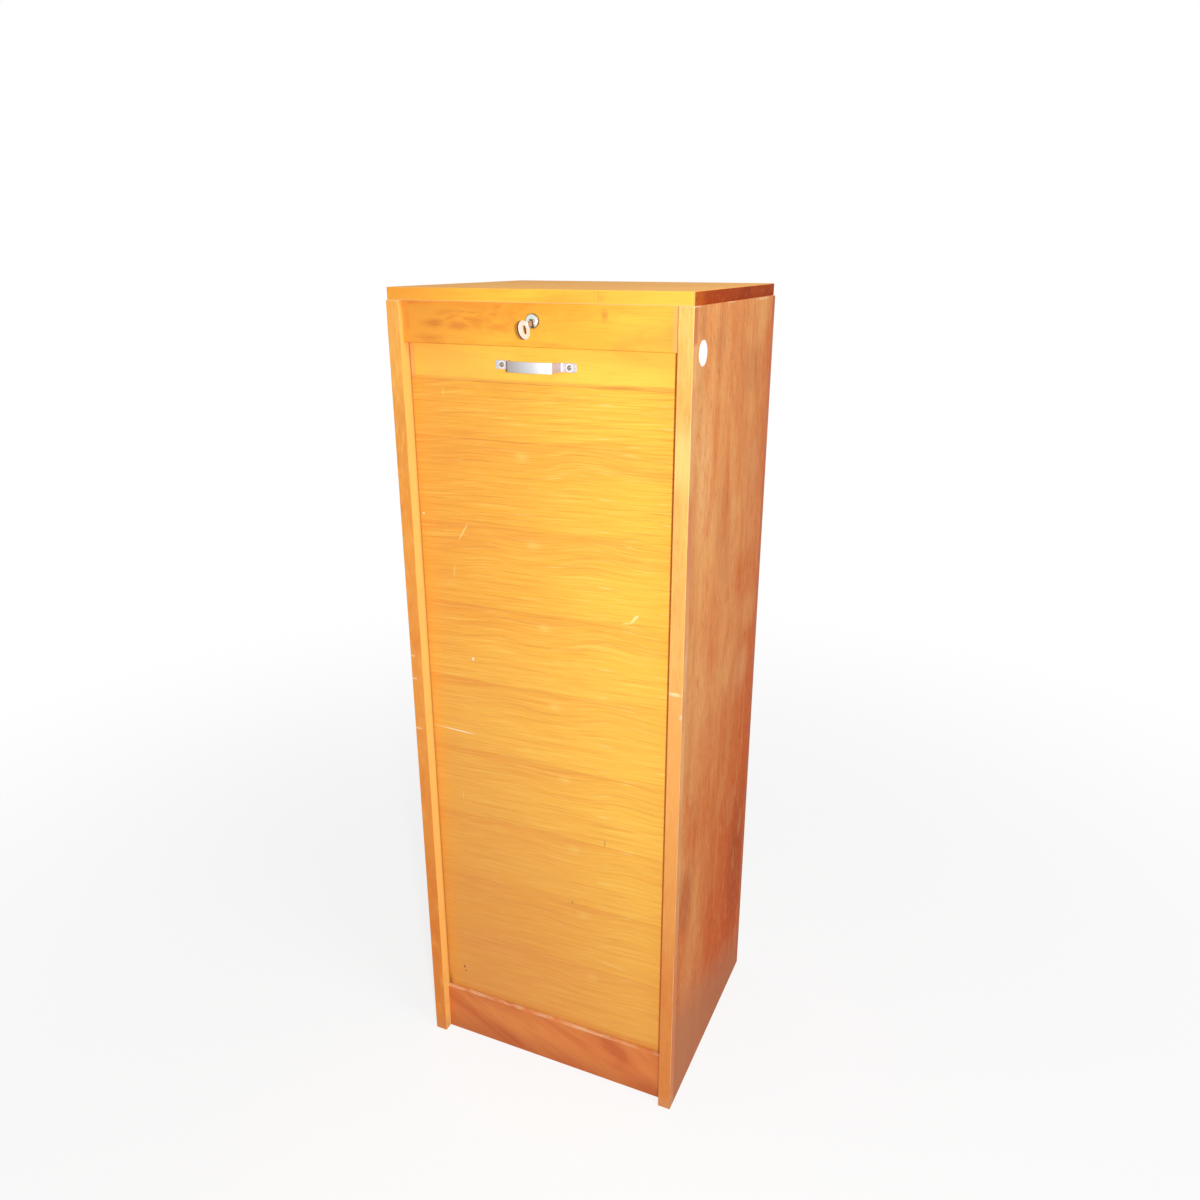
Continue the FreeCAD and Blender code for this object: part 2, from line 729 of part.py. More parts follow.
def key():
    """Flat key: cut blade in the keyway, stem and a round bow with a slot for a ring."""
    face = lock_face_depth
    bow = face - key_stem
    half, x = key_blade_height / 2, -key_thickness / 2
    low, high, tip = plug_z - half, plug_z + half, face + key_blade_length
    edge = [(bow, low), (tip, low), (tip, high), (bow, high)]
    blade = side_profile(edge, x, -x, [0, half * 0.7, half * 0.7, 0])
    for i, cut in enumerate(key_cuts):
        d = face + key_cut_start + i * key_cut_pitch
        foot = key_cut_flat / 2
        notch = [(d - cut - foot, low), (d + cut + foot, low), (d + foot, low + cut), (d - foot, low + cut)]
        blade = blade.cut(side_profile(notch, x, -x))
    middle = plug_z - key_bow_drop
    centre = Vec(x, depth(bow), middle)
    front, top = centre + Vec(0, -key_bow_length / 2, 0), centre + Vec(0, 0, key_bow_height / 2)
    oval = Part.Wire(Part.Ellipse(front, top, centre).toShape())
    plate = blade.fuse(Part.Face(oval).extrude(Vec(key_thickness, 0, 0)))
    d, wide, tall = bow + key_hole_offset, key_hole_width / 2, key_hole_height / 2
    low, high = middle - tall, middle + tall
    ring = [(d - wide, low), (d + wide, low), (d + wide, high), (d - wide, high)]
    return turned(plate.cut(side_profile(ring, x, -x, [wide * 0.999] * 4)).removeSplitter())


def paper_dot():
    """Blank round label on the right side."""
    z = panel_height - dot_drop
    return bar_across(dot_depth, z, dot_radius, half_width, half_width + dot_thickness)


def back_screws():
    seat = back_face + back_thickness
    return Part.makeCompound([
        back_screw(x, z, seat, back_screw_length - screw_end_clearance) for x, z in back_screw_places()
    ])


def all_pieces():
    pieces = {
        "left_side_panel": side_panel(-1),
        "right_side_panel": side_panel(1),
        "left_front_lipping": front_lipping(-1),
        "right_front_lipping": front_lipping(1),
        "left_rear_lipping": rear_lipping(-1),
        "right_rear_lipping": rear_lipping(1),
        "lock_rail": lock_rail(),
        "plinth_rail": plinth_rail(),
        "glue_blocks": glue_blocks(),
        "left_rack": rack(-1),
        "right_rack": rack(1),
        "back_screws": back_screws(),
        "curtain_slats": slats(),
        "curtain_canvas": canvas(),
        "canvas_batten": canvas_batten(),
        "lead_rail": lead_rail(),
        "handle": handle(),
        "handle_screws": handle_screws(),
        "keeper": keeper(),
        "keeper_screws": keeper_screws(),
        "lock_housing": lock_housing(),
        "lock_nut": lock_nut(),
        "lock_plug": lock_plug(),
        "lock_cam": lock_cam(),
        "cam_screw": cam_screw(),
        "key": key(),
        "paper_dot": paper_dot(),
    }
    pieces.update(top_pieces())
    pieces.update(rear_rails())
    pieces.update(inside_boards())
    for n, z in enumerate(slot_heights()[slots_per_shelf - 1::slots_per_shelf], start=1):
        pieces[f"shelf_{n}"] = shelf(z)
    return pieces


os.makedirs("parts", exist_ok=True)
for name, shape in all_pieces().items():
    shape.exportStep(f"parts/{name}.step")
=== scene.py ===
"""Looks of the roll-top document cabinet: curtain, fittings, finishes and stage, laid out as an add-on."""

import json
import math

import bpy
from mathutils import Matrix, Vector

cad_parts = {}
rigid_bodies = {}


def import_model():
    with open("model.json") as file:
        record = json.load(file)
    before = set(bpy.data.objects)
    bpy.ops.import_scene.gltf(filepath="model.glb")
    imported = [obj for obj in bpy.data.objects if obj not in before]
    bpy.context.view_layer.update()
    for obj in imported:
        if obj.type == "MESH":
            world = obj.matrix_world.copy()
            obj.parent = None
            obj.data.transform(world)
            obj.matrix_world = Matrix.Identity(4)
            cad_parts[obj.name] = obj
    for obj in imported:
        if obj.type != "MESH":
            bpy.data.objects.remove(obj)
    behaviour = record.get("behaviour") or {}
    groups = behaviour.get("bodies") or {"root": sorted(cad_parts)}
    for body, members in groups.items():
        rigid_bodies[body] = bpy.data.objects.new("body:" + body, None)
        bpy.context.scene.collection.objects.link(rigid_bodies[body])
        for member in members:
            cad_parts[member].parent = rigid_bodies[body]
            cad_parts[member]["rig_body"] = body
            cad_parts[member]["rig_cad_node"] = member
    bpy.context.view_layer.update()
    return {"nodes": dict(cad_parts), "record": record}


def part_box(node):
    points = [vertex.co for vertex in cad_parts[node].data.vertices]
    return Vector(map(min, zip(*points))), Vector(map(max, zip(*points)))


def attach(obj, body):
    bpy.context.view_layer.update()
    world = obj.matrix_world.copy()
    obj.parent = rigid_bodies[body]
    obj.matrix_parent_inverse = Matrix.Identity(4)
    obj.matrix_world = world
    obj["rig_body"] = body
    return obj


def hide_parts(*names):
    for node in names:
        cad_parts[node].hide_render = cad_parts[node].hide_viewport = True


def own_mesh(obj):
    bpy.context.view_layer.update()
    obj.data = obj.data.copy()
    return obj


bl_info = {
    "name": "Roll-top document cabinet",
    "version": (1, 0, 0),
    "blender": (4, 5, 0),
    "location": "View3D > Sidebar > Cabinet",
    "description": "Builds the curtain, fittings, finishes and stage of a roll-top cabinet",
    "category": "Object",
}

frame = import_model()
cad_nodes = frame["nodes"]

# Which finish each CAD node has
finish_of_node = {row["node"]: row["material_slot"] for row in frame["record"]["subparts"]}

# Veneer leaves of the curtain, in metres: the height of one, and where the first of them starts
leaf_pitch = 0.1132
leaf_start = 0.9923

# Places that marks, wear and painted shade refer to, in metres: a side's outer face, the face of the front
# lippings, and the middle of the keyway
side_face = 0.207
lipping_face = -0.1624
keyway_height = 1.1402

# Edges that turn by more than this are rounded
sharp_angle = math.radians(40)


def rgb(red, green, blue):
    """A colour given as 0 to 255 in sRGB, as the linear values a shader socket takes."""
    def channel(value):
        value /= 255
        return value / 12.92 if value <= 0.04045 else ((value + 0.055) / 1.055) ** 2.4
    return (channel(red), channel(green), channel(blue), 1.0)


def deselect():
    """Nothing selected and no edit mode, so that an operator acts only on the new piece."""
    if bpy.context.object and bpy.context.object.mode != "OBJECT":
        bpy.ops.object.mode_set(mode="OBJECT")
    bpy.ops.object.select_all(action="DESELECT")


def only(piece):
    """This piece selected and active, and nothing else."""
    deselect()
    piece.select_set(True)
    bpy.context.view_layer.objects.active = piece


def settle(piece):
    """Place, turn and size of a piece go into its mesh, and its object goes to the origin."""
    only(piece)
    bpy.ops.object.transform_apply(location=True, rotation=True, scale=True)
    return piece


def pick_points(piece, test):
    """In edit mode: the vertices that pass the test are selected, and nothing else."""
    bpy.ops.mesh.select_mode(type="VERT")
    bpy.ops.mesh.select_all(action="DESELECT")
    bpy.ops.object.mode_set(mode="OBJECT")
    for point in piece.data.vertices:
        point.select = test(point.co)
    bpy.ops.object.mode_set(mode="EDIT")
    bpy.ops.mesh.select_mode(type="EDGE")


def finished(piece, kind, **values):
    """Adds one modifier and applies it."""
    only(piece)
    modifier = piece.modifiers.new(kind.lower(), kind)
    for name, value in values.items():
        setattr(modifier, name, value)
    bpy.ops.object.modifier_apply(modifier=modifier.name)


def smooth(piece):
    """Smooth shading on all but the edges that turn by more than 32 degrees."""
    only(piece)
    bpy.ops.object.shade_smooth_by_angle(angle=math.radians(32))


def copied(node, name, join_flat=False):
    """A free copy of a CAD node's mesh, merged and, where wanted, with its flat faces joined again."""
    piece = cad_nodes[node].copy()
    piece.data = piece.data.copy()
    piece.name = name
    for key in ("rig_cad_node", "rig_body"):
        if key in piece:
            del piece[key]
    piece.parent = None
    bpy.context.scene.collection.objects.link(piece)
    only(piece)
    bpy.ops.object.mode_set(mode="EDIT")
    bpy.ops.mesh.select_all(action="SELECT")
    bpy.ops.mesh.remove_doubles(threshold=0.00001)
    if join_flat:
        bpy.ops.mesh.dissolve_limited(angle_limit=math.radians(1))
    bpy.ops.object.mode_set(mode="OBJECT")
    return piece


def softened(node, name, width):
    """A copy of a CAD node's mesh with its sharp edges rounded."""
    piece = copied(node, name, join_flat=True)
    finished(piece, "BEVEL", width=width, segments=2, limit_method="ANGLE", angle_limit=sharp_angle)
    smooth(piece)
    return piece


def dress(piece, slot, body, *nodes):
    """A finished piece gets its finish, rides on its body and stands for its CAD nodes."""
    piece.data.materials.clear()
    piece.data.materials.append(ready(slot))
    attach(piece, body)
    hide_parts(*nodes)


class FinishTree:
    """Node tree of one material. Most methods add nodes and give back an output socket. The others lay
    further tones over the colour so far, which is the body."""

    def __init__(self, name, roughness, specular=0.5, metallic=0.0):
        self.material = bpy.data.materials.new(name + "_finish")
        self.material.use_nodes = True
        self.nodes = self.material.node_tree.nodes
        self.links = self.material.node_tree.links
        self.shader = self.nodes["Principled BSDF"]
        self.shader.inputs["Roughness"].default_value = roughness
        self.shader.inputs["Specular IOR Level"].default_value = specular
        self.shader.inputs["Metallic"].default_value = metallic
        self.place = self.nodes.new("ShaderNodeTexCoord").outputs["Object"]
        self.body = None

    def put(self, socket, value):
        """A socket gets a link or a plain value."""
        if isinstance(value, bpy.types.NodeSocket):
            self.links.new(value, socket)
        else:
            socket.default_value = value

    def mapped(self, scale=(1, 1, 1), move=(0, 0, 0), turn=0, source=None, kind="POINT"):
        """The place moved, scaled, and turned by degrees round the Y axis."""
        node = self.nodes.new("ShaderNodeMapping")
        node.vector_type = kind
        self.put(node.inputs["Vector"], source or self.place)
        node.inputs["Location"].default_value = move
        node.inputs["Rotation"].default_value = (0, math.radians(turn), 0)
        node.inputs["Scale"].default_value = scale
        return node.outputs["Vector"]

    def noise(self, place, scale, detail, roughness=0.5, distortion=0.0):
        node = self.nodes.new("ShaderNodeTexNoise")
        self.put(node.inputs["Vector"], place)
        node.inputs["Scale"].default_value = scale
        node.inputs["Detail"].default_value = detail
        node.inputs["Roughness"].default_value = roughness
        node.inputs["Distortion"].default_value = distortion
        return node.outputs["Fac"]

    def math(self, operation, *values):
        node = self.nodes.new("ShaderNodeMath")
        node.operation = operation
        for socket, value in zip(node.inputs, values):
            self.put(socket, value)
        return node.outputs[0]

    def times(self, first, *others):
        for other in others:
            first = self.math("MULTIPLY", first, other)
        return first

    def plus(self, first, *others):
        for other in others:
            first = self.math("ADD", first, other)
        return first

    def minus(self, first, second):
        return self.math("SUBTRACT", first, second)

    def unsigned(self, value):
        return self.math("ABSOLUTE", value)

    def split(self):
        """X, Y and Z of the place, in metres."""
        node = self.nodes.new("ShaderNodeSeparateXYZ")
        self.put(node.inputs[0], self.place)
        return node.outputs

    def joined(self, x, y, z):
        node = self.nodes.new("ShaderNodeCombineXYZ")
        for socket, value in zip(node.inputs, (x, y, z)):
            self.put(socket, value)
        return node.outputs[0]

    def spread(self, value, low, high, to_high=1.0, to_low=0.0):
        """Values from low to high become to_low to to_high, with soft ends."""
        node = self.nodes.new("ShaderNodeMapRange")
        node.interpolation_type = "SMOOTHSTEP"
        for name, number in (("Value", value), ("From Min", low), ("From Max", high),
                             ("To Min", to_low), ("To Max", to_high)):
            self.put(node.inputs[name], number)
        return node.outputs["Result"]

    def mix(self, share, first, second):
        node = self.nodes.new("ShaderNodeMix")
        node.data_type = "RGBA"
        self.put(node.inputs[0], share)
        self.put(node.inputs[6], first)
        self.put(node.inputs[7], second)
        return node.outputs[2]

    def lay(self, tone, share):
        """A tone covers that share of the body."""
        self.body = self.mix(share, self.body, tone)

    def fade(self, tone, value, low, high, to_high=1.0, to_low=0.0):
        """A tone covers the body from one share to another, as the value goes from low to high."""
        self.lay(tone, self.spread(value, low, high, to_high, to_low))

    def spot(self, tone, strength, centre, size, turn=0, soft=0.5, ragged=None):
        """A scratch, chip or stain, or a painted highlight: a spot of that size round its centre, turned by
        degrees.
        The outer part of it that `soft` names fades out."""
        ball = self.nodes.new("ShaderNodeTexGradient")
        ball.gradient_type = "SPHERICAL"
        self.put(ball.inputs["Vector"], self.mapped(size, centre, turn, kind="TEXTURE"))
        share = self.spread(ball.outputs["Fac"], 0.0, soft, strength)
        if ragged:
            share = self.times(share, ragged)
        self.lay(tone, share)

    def bump(self, height, strength, distance):
        node = self.nodes.new("ShaderNodeBump")
        node.inputs["Strength"].default_value = strength
        node.inputs["Distance"].default_value = distance
        self.put(node.inputs["Height"], height)
        self.put(self.shader.inputs["Normal"], node.outputs["Normal"])

    def colour(self):
        """The body becomes the colour of the surface."""
        self.put(self.shader.inputs["Base Color"], self.body)


def grain_scale(along, stretch):
    """Mapping scale that draws a pattern out along one axis."""
    return tuple(1.0 / stretch if axis == along else 1.0 for axis in "xyz")


def shades(tones, part):
    """Pale, middle and dark tone of a wooden part."""
    return [getattr(tones, part + shade) for shade in ("_pale", "_middle", "_dark")]


def wood(tree, along, tones, seed, figure=9.0, wave=0.5, lines=0.5, pores=0.3, turn=0):
    """Body of varnished wood with its grain along one axis: broad bands, year lines and fine pores."""
    pale, middle, dark = tones
    source = tree.mapped(turn=turn)
    broad_at = tree.mapped(grain_scale(along, 4), (seed, seed, seed), source=source)
    broad = tree.noise(broad_at, figure, 3, 0.55, wave)
    line_at = tree.mapped(grain_scale(along, 14), (seed + 3, seed, seed + 5), source=source)
    line = tree.noise(line_at, 190, 3, 0.6, wave * 0.5)
    fine = tree.noise(tree.mapped(grain_scale(along, 26), (seed, 7, 1), source=source), 620, 2, 0.6)
    tree.body = tree.mix(tree.spread(broad, 0.36, 0.64), middle, pale)
    tree.fade(dark, broad, 0.44, 0.3, lines)
    tree.fade(middle, line, 0.5, 0.66, lines)
    tree.fade(dark, fine, 0.52, 0.74, pores)
    tree.bump(fine, 0.1, 0.0002)


def brushed(name, along, bright, dull, roughness, specular=0.5, metallic=1.0):
    """Satin metal, drawn along one axis, slightly mottled where hands wear it."""
    tree = FinishTree(name, roughness, specular, metallic)
    drawn = tree.noise(tree.mapped(grain_scale(along, 30)), 1500, 2, 0.6)
    handled = tree.noise(tree.mapped(), 90, 2, 0.5)
    tree.body = tree.mix(tree.spread(drawn, 0.35, 0.65, 0.5), bright, dull)
    tree.fade(dull, handled, 0.5, 0.7, 0.35)
    tree.colour()
    tree.bump(drawn, 0.15, 0.0001)
    return tree


def away_from(tree, x, z, middle, height):
    """Distance from a point of the front."""
    across, up = tree.minus(x, middle), tree.minus(z, height)
    return tree.math("SQRT", tree.plus(tree.times(across, across), tree.times(up, up)))


def hill(tree, x, middle, half_width):
    """A soft hill of height 1 over one place."""
    away = tree.math("DIVIDE", tree.minus(x, middle), half_width)
    return tree.math("EXPONENT", tree.times(away, away, -1.0))


def varnished(name, roughness=0.42, specular=0.22):
    """Wood under satin varnish."""
    return FinishTree(name, roughness, specular=specular)


def painted_lipping_shadow(tree, x):
    """Painted shadow of the right lipping: a red-brown line on a moving front where it runs along that
    lipping.
    """
    line = tree.times(tree.spread(x, 0.1782, 0.1796), tree.spread(x, 0.1835, 0.1822))
    tree.lay(rgb(222, 98, 36), tree.times(line, 0.75))


def curtain_finish(tones):
    """Slip-matched veneer: every leaf repeats the figure of the one above, a little further to the right."""
    tree = varnished("curtain_veneer")
    x, _, z = tree.split()
    # The joints of the leaves sag. u and v are the place on one leaf, to the right and down
    below = tree.minus(leaf_start, z)
    share = tree.math("DIVIDE", below, 7 * leaf_pitch)
    down = tree.plus(below, tree.times(share, tree.minus(1.0, share), -0.034))
    leaf = tree.math("FLOOR", tree.math("DIVIDE", down, leaf_pitch))
    v = tree.minus(down, tree.times(leaf, leaf_pitch))
    u = tree.minus(x, tree.times(leaf, 0.014))
    # The grain lies along places of one t, which is v with two hills, a slant and a soft wave
    soft = tree.noise(tree.joined(tree.times(u, 0.3), 0.3, v), 22, 2, 0.5)
    hill_right = tree.times(hill(tree, u, 0.055, 0.05), hill(tree, v, 0.02, 0.03), 0.010)
    hill_left = tree.times(hill(tree, u, -0.1, 0.04), hill(tree, v, 0.035, 0.03), 0.005)
    slant, wave = tree.times(u, 0.045), tree.times(tree.minus(soft, 0.5), 0.003)
    t = tree.plus(v, hill_right, hill_left, slant, wave)
    own = tree.times(leaf, 0.002)
    bands = tree.noise(tree.joined(tree.times(u, 0.07), own, t), 75, 2, 0.55)
    lines = tree.noise(tree.joined(tree.times(u, 0.022), own, t), 400, 2, 0.6)
    fine = tree.noise(tree.joined(tree.times(u, 0.018), 0.5, t), 760, 2, 0.65)
    glints = tree.noise(tree.joined(tree.times(x, 0.05), 0.8, t), 380, 1, 0.5)

    # Tones of the whole front, yellower to the upper right and paler at mid height as painted light, then its
    # bands, lines and fine lines
    yellow, amber = tones.curtain_yellow, tones.curtain_amber
    red, brown = tones.curtain_red, tones.curtain_brown
    glint = rgb(255, 234, 160)
    upper_right = tree.plus(tree.times(x, 1.5), tree.times(z, 0.2))
    tree.body = tree.mix(tree.spread(upper_right, -0.16, 0.5), amber, yellow)
    tree.fade(rgb(238, 154, 52), z, 0.78, 0.92, 0.16)
    lit = tree.times(tree.spread(z, 0.76, 0.64), tree.spread(z, 0.22, 0.4))
    tree.lay(rgb(255, 214, 104), tree.times(lit, tree.spread(x, 0.1, -0.1, 0.22, 0.12)))
    tree.fade(amber, tree.times(leaf, 0.37), -1.0, 4.0, 0.35)
    top_band = tree.times(tree.spread(v, 0.055, 0.006), tree.spread(bands, 0.35, 0.6, 0.9, 0.4))
    tree.lay(red, tree.times(top_band, tree.spread(x, -0.1, 0.19, 0.3, 0.6)))
    tree.fade(red, bands, 0.5, 0.7, 0.3)
    tree.fade(brown, lines, 0.5, 0.72, 0.24)
    tree.fade(rgb(255, 222, 112), lines, 0.46, 0.3, 0.26)
    seam = tree.times(tree.spread(v, 0.003, 0.0005), tree.spread(soft, 0.42, 0.6, 0.22))
    tree.lay(brown, seam)
    swirl = tree.times(hill(tree, u, -0.028, 0.009), hill(tree, v, 0.018, 0.005))
    tree.lay(rgb(255, 226, 130), tree.times(swirl, 0.3))
    tree.fade(brown, fine, 0.52, 0.72, 0.26)
    tree.fade(rgb(255, 226, 128), fine, 0.47, 0.3, 0.26)
    # Painted glints of the light on the pores, stronger to the right
    shine = tree.times(tree.spread(glints, 0.66, 0.78), tree.spread(x, -0.2, 0.15, 0.5, 0.15))
    tree.lay(glint, shine)
    # Painted shade: darker towards the lower left, where the light falls off
    lower_left_shade = tree.minus(tree.times(x, -0.6), z)
    tree.fade(rgb(214, 140, 78), lower_left_shade, -0.66, 0.05, 0.5)
    # Scratches, chips and nail marks
    chip, faint, nail = rgb(255, 244, 214), rgb(255, 222, 140), rgb(104, 56, 34)
    for tone, strength, across, height, wide, high, turn in (
        (glint, 0.9, 0.1335, 0.7765, 0.0062, 0.0024, -38),
        (glint, 0.9, 0.1295, 0.7713, 0.0050, 0.0016, -34),
        (faint, 0.9, 0.123, 0.7668, 0.011, 0.0013, -12),
        (chip, 1.0, -0.150, 0.5565, 0.040, 0.0011, 2),
        (faint, 0.8, -0.178, 0.5575, 0.022, 0.0008, 0),
        (faint, 0.8, -0.121, 0.8625, 0.019, 0.0011, -58),
        (faint, 0.5, -0.138, 0.805, 0.014, 0.0009, -80),
        (faint, 0.5, -0.143, 0.449, 0.011, 0.0009, -82),
        (faint, 0.5, -0.141, 1.050, 0.009, 0.0009, 90),
        (faint, 0.5, 0.104, 0.215, 0.034, 0.0009, 6),
        (chip, 1.0, -0.1145, 0.676, 0.0022, 0.0030, 0),
        (chip, 0.9, -0.183, 0.8825, 0.0024, 0.0020, 0),
        (nail, 0.9, -0.1584, 0.1245, 0.0024, 0.0036, 0),
        (nail, 0.7, -0.1560, 0.1170, 0.0020, 0.0024, 0),
        (nail, 0.4, 0.0905, 0.425, 0.0014, 0.007, 0),
        (nail, 0.35, 0.038, 0.309, 0.0018, 0.004, 0),
    ):
        tree.spot(tone, strength, (across, 0, height), (wide, 1, high), turn)
    corners = tree.spread(tree.unsigned(x), 0.178, 0.188)
    tree.lay(rgb(120, 60, 28), tree.times(tree.spread(z, 0.115, 0.075), corners))
    tree.fade(rgb(228, 166, 74), x, -0.12, -0.187, 0.3)
    # Painted shadow of the right lipping on the curtain
    painted_lipping_shadow(tree, x)
    tree.colour()
    tree.bump(fine, 0.1, 0.0002)


def side_finish(tones):
    """Mottled, reddish veneer of a side, with soft clouds and upright pores. Its inner face is plain but for
    painted shade from the groove back.
    """
    tree = varnished("side_veneer", 0.5, 0.03)
    x, y, z = tree.split()
    which = tree.plus(tree.times(x, 12.0), 0.2)
    clouds = tree.noise(tree.joined(which, y, tree.times(z, 0.6)), 9.0, 3, 0.5, 0.8)
    mottle = tree.noise(tree.joined(which, y, tree.times(z, 0.3)), 55, 3, 0.6, 0.4)
    fibres = tree.noise(tree.joined(which, y, tree.times(z, 0.12)), 520, 2, 0.6)
    stripes = tree.noise(tree.joined(which, y, tree.times(z, 0.06)), 30, 2, 0.5)
    slanted = tree.plus(y, tree.times(z, 0.18))
    pores = tree.noise(tree.joined(which, slanted, tree.times(z, 0.22)), 400, 1, 0.5)
    pale, red, brown, deep = tones.side_pale, tones.side_red, tones.side_brown, tones.side_deep
    tree.body = tree.mix(tree.spread(clouds, 0.36, 0.64, 0.85, 0.15), red, pale)
    front_band = tree.times(tree.spread(y, -0.095, -0.13), tree.spread(z, 0.4, 0.8, 0.5))
    tree.lay(rgb(212, 160, 100), front_band)
    low_rear = tree.minus(tree.times(y, 1.7), tree.times(z, 0.75))
    tree.fade(deep, low_rear, -0.8, 0.12)
    for tone, strength, back, height, deep_by, high_by in (
        (pale, 0.6, -0.110, 0.82, 0.040, 0.26),
        (pale, 0.4, 0.010, 0.715, 0.026, 0.11),
        (rgb(242, 186, 122), 0.6, -0.104, 0.97, 0.045, 0.15),
        (rgb(238, 178, 112), 0.35, -0.092, 0.66, 0.05, 0.11),
        (rgb(228, 162, 106), 0.4, 0.130, 0.93, 0.060, 0.08),
        (rgb(232, 166, 108), 0.55, 0.112, 0.62, 0.055, 0.06),
        (rgb(232, 166, 108), 0.4, 0.110, 0.84, 0.040, 0.05),
        (rgb(190, 104, 54), 0.35, 0.0, 0.82, 0.040, 0.07),
        (rgb(226, 158, 100), 0.25, 0.0, 0.63, 0.050, 0.06),
        (rgb(196, 108, 56), 0.45, -0.020, 0.89, 0.050, 0.10),
        (rgb(194, 112, 62), 0.4, 0.090, 1.07, 0.080, 0.05),
        (rgb(196, 114, 66), 0.5, -0.055, 1.12, 0.040, 0.06),
        (rgb(198, 118, 68), 0.5, -0.135, 1.145, 0.030, 0.03),
        (rgb(186, 86, 40), 0.7, -0.120, 0.35, 0.050, 0.09),
        (rgb(192, 98, 46), 0.4, -0.102, 0.48, 0.030, 0.045),
        (rgb(178, 74, 20), 0.85, 0.145, 0.25, 0.075, 0.20),
        (rgb(212, 136, 86), 0.45, 0.092, 0.38, 0.035, 0.05),
        (pale, 0.55, 0.055, 0.885, 0.055, 0.035),
        (pale, 0.5, 0.040, 0.650, 0.030, 0.06),
        (pale, 0.5, 0.135, 0.705, 0.060, 0.045),
        (pale, 0.4, -0.070, 0.30, 0.030, 0.16),
        (deep, 0.45, 0.072, 0.778, 0.042, 0.06),
        (deep, 0.4, -0.006, 0.915, 0.022, 0.09),
        (deep, 0.6, 0.042, 0.390, 0.014, 0.03),
        (deep, 0.35, 0.050, 0.350, 0.016, 0.05),
        (deep, 0.35, -0.100, 0.44, 0.050, 0.035),
        (deep, 0.4, 0.010, 0.20, 0.050, 0.13),
        # The last three rows: pale upper arris, wear and painted highlight
        (rgb(250, 222, 190), 0.6, 0.130, 1.162, 0.05, 0.002),
        (rgb(250, 222, 190), 0.5, -0.02, 1.1632, 0.03, 0.0012),
        (rgb(250, 226, 200), 0.8, -0.143, 1.1636, 0.012, 0.0008),
    ):
        tree.spot(tone, strength, (side_face, back, height), (0.3, deep_by, high_by), soft=0.8)
    tree.fade(deep, stripes, 0.5, 0.72, 0.3)
    tree.fade(pale, stripes, 0.48, 0.3, 0.25)
    tree.fade(deep, mottle, 0.5, 0.74, 0.32)
    tree.fade(pale, mottle, 0.48, 0.3, 0.28)
    tree.fade(brown, fibres, 0.53, 0.72, 0.34)
    tree.fade(rgb(240, 184, 122), fibres, 0.47, 0.3, 0.24)
    upper_front = tree.minus(z, tree.times(y, 1.2))
    open_pores = tree.times(tree.spread(pores, 0.66, 0.76), tree.spread(upper_front, 0.85, 1.2, 0.45))
    tree.lay(rgb(96, 46, 26), open_pores)
    low_front = tree.plus(z, tree.times(y, 0.35))
    tree.fade(rgb(188, 122, 84), low_front, 0.18, 0.06, 0.8)
    # Inner face: pale, with painted shade from the groove back
    groove = tree.spread(y, -0.1464, -0.1440, 0.85)
    inner_face = tree.mix(groove, rgb(250, 192, 106), rgb(184, 112, 50))
    tree.fade(inner_face, tree.unsigned(x), 0.1895, 0.1885)
    tree.colour()
    tree.bump(fibres, 0.1, 0.0002)


def outer_side(tree, x):
    """1 on the outer side of the lippings, and 0 on their faces."""
    return tree.spread(tree.unsigned(x), side_face - 0.00012, side_face - 0.00003)


def lipping_finish(name, tones, seed, side_pale=(226, 164, 104), side_middle=(216, 144, 86)):
    """Solid upright lipping: fine grain, painted falloff of the light low down, pale arrises and upper end
    that are wear and painted highlight, a worn foot, and tones of its own on its outer side.
    """
    tree = varnished(name, 0.45, 0.1)
    x, _, z = tree.split()
    wood(tree, "z", tones, seed, figure=26.0, wave=0.3, lines=0.45, pores=0.5)
    outer = tree.unsigned(x)
    flecks = tree.noise(tree.mapped(grain_scale("z", 3), (seed, 2, 2)), 60, 3, 0.6)
    strokes = tree.noise(tree.mapped(grain_scale("z", 9), (seed, 5, 2)), 420, 2, 0.6)
    dark = tones[-1]
    tree.fade(dark, strokes, 0.52, 0.7, 0.5)
    tree.fade(rgb(255, 218, 150), strokes, 0.46, 0.3, 0.4)
    # Painted falloff of the light: paler high up, darker and redder low down
    tree.fade(rgb(244, 168, 92), z, 1.0, 0.65, 0.5)
    tree.fade(rgb(200, 90, 34), z, 0.8, 0.05, 0.6175)
    # Its outer side, then the one towards the curtain
    side = tree.mix(tree.spread(flecks, 0.4, 0.62), rgb(*side_pale), rgb(*side_middle))
    redder = tree.times(tree.spread(z, 0.80, 0.86, 0.5), tree.spread(z, 0.98, 0.93))
    side = tree.mix(tree.plus(tree.spread(z, 1.118, 1.126, 0.7), redder), side, rgb(196, 92, 40))
    side = tree.mix(tree.spread(z, 0.6, 0.1, 0.7), side, rgb(206, 112, 60))
    tree.lay(side, outer_side(tree, x))
    tree.fade(rgb(252, 198, 110), outer, 0.18818, 0.18806)
    # Pale arris and upper end, partly wear and partly painted highlight, and wear on its foot
    worn = rgb(252, 214, 166)
    on_arris = tree.times(tree.spread(outer, 0.2061, 0.2064), tree.spread(outer, 0.20694, 0.2068))
    tree.lay(worn, tree.times(on_arris, tree.spread(flecks, 0.4, 0.62, 0.45)))
    tree.fade(worn, z, 1.1625, 1.1634, 0.75)
    foot = tree.times(tree.spread(z, 0.03, 0.002), tree.spread(flecks, 0.4, 0.6, 0.8, 0.2))
    tree.lay(rgb(206, 160, 124), foot)
    return tree


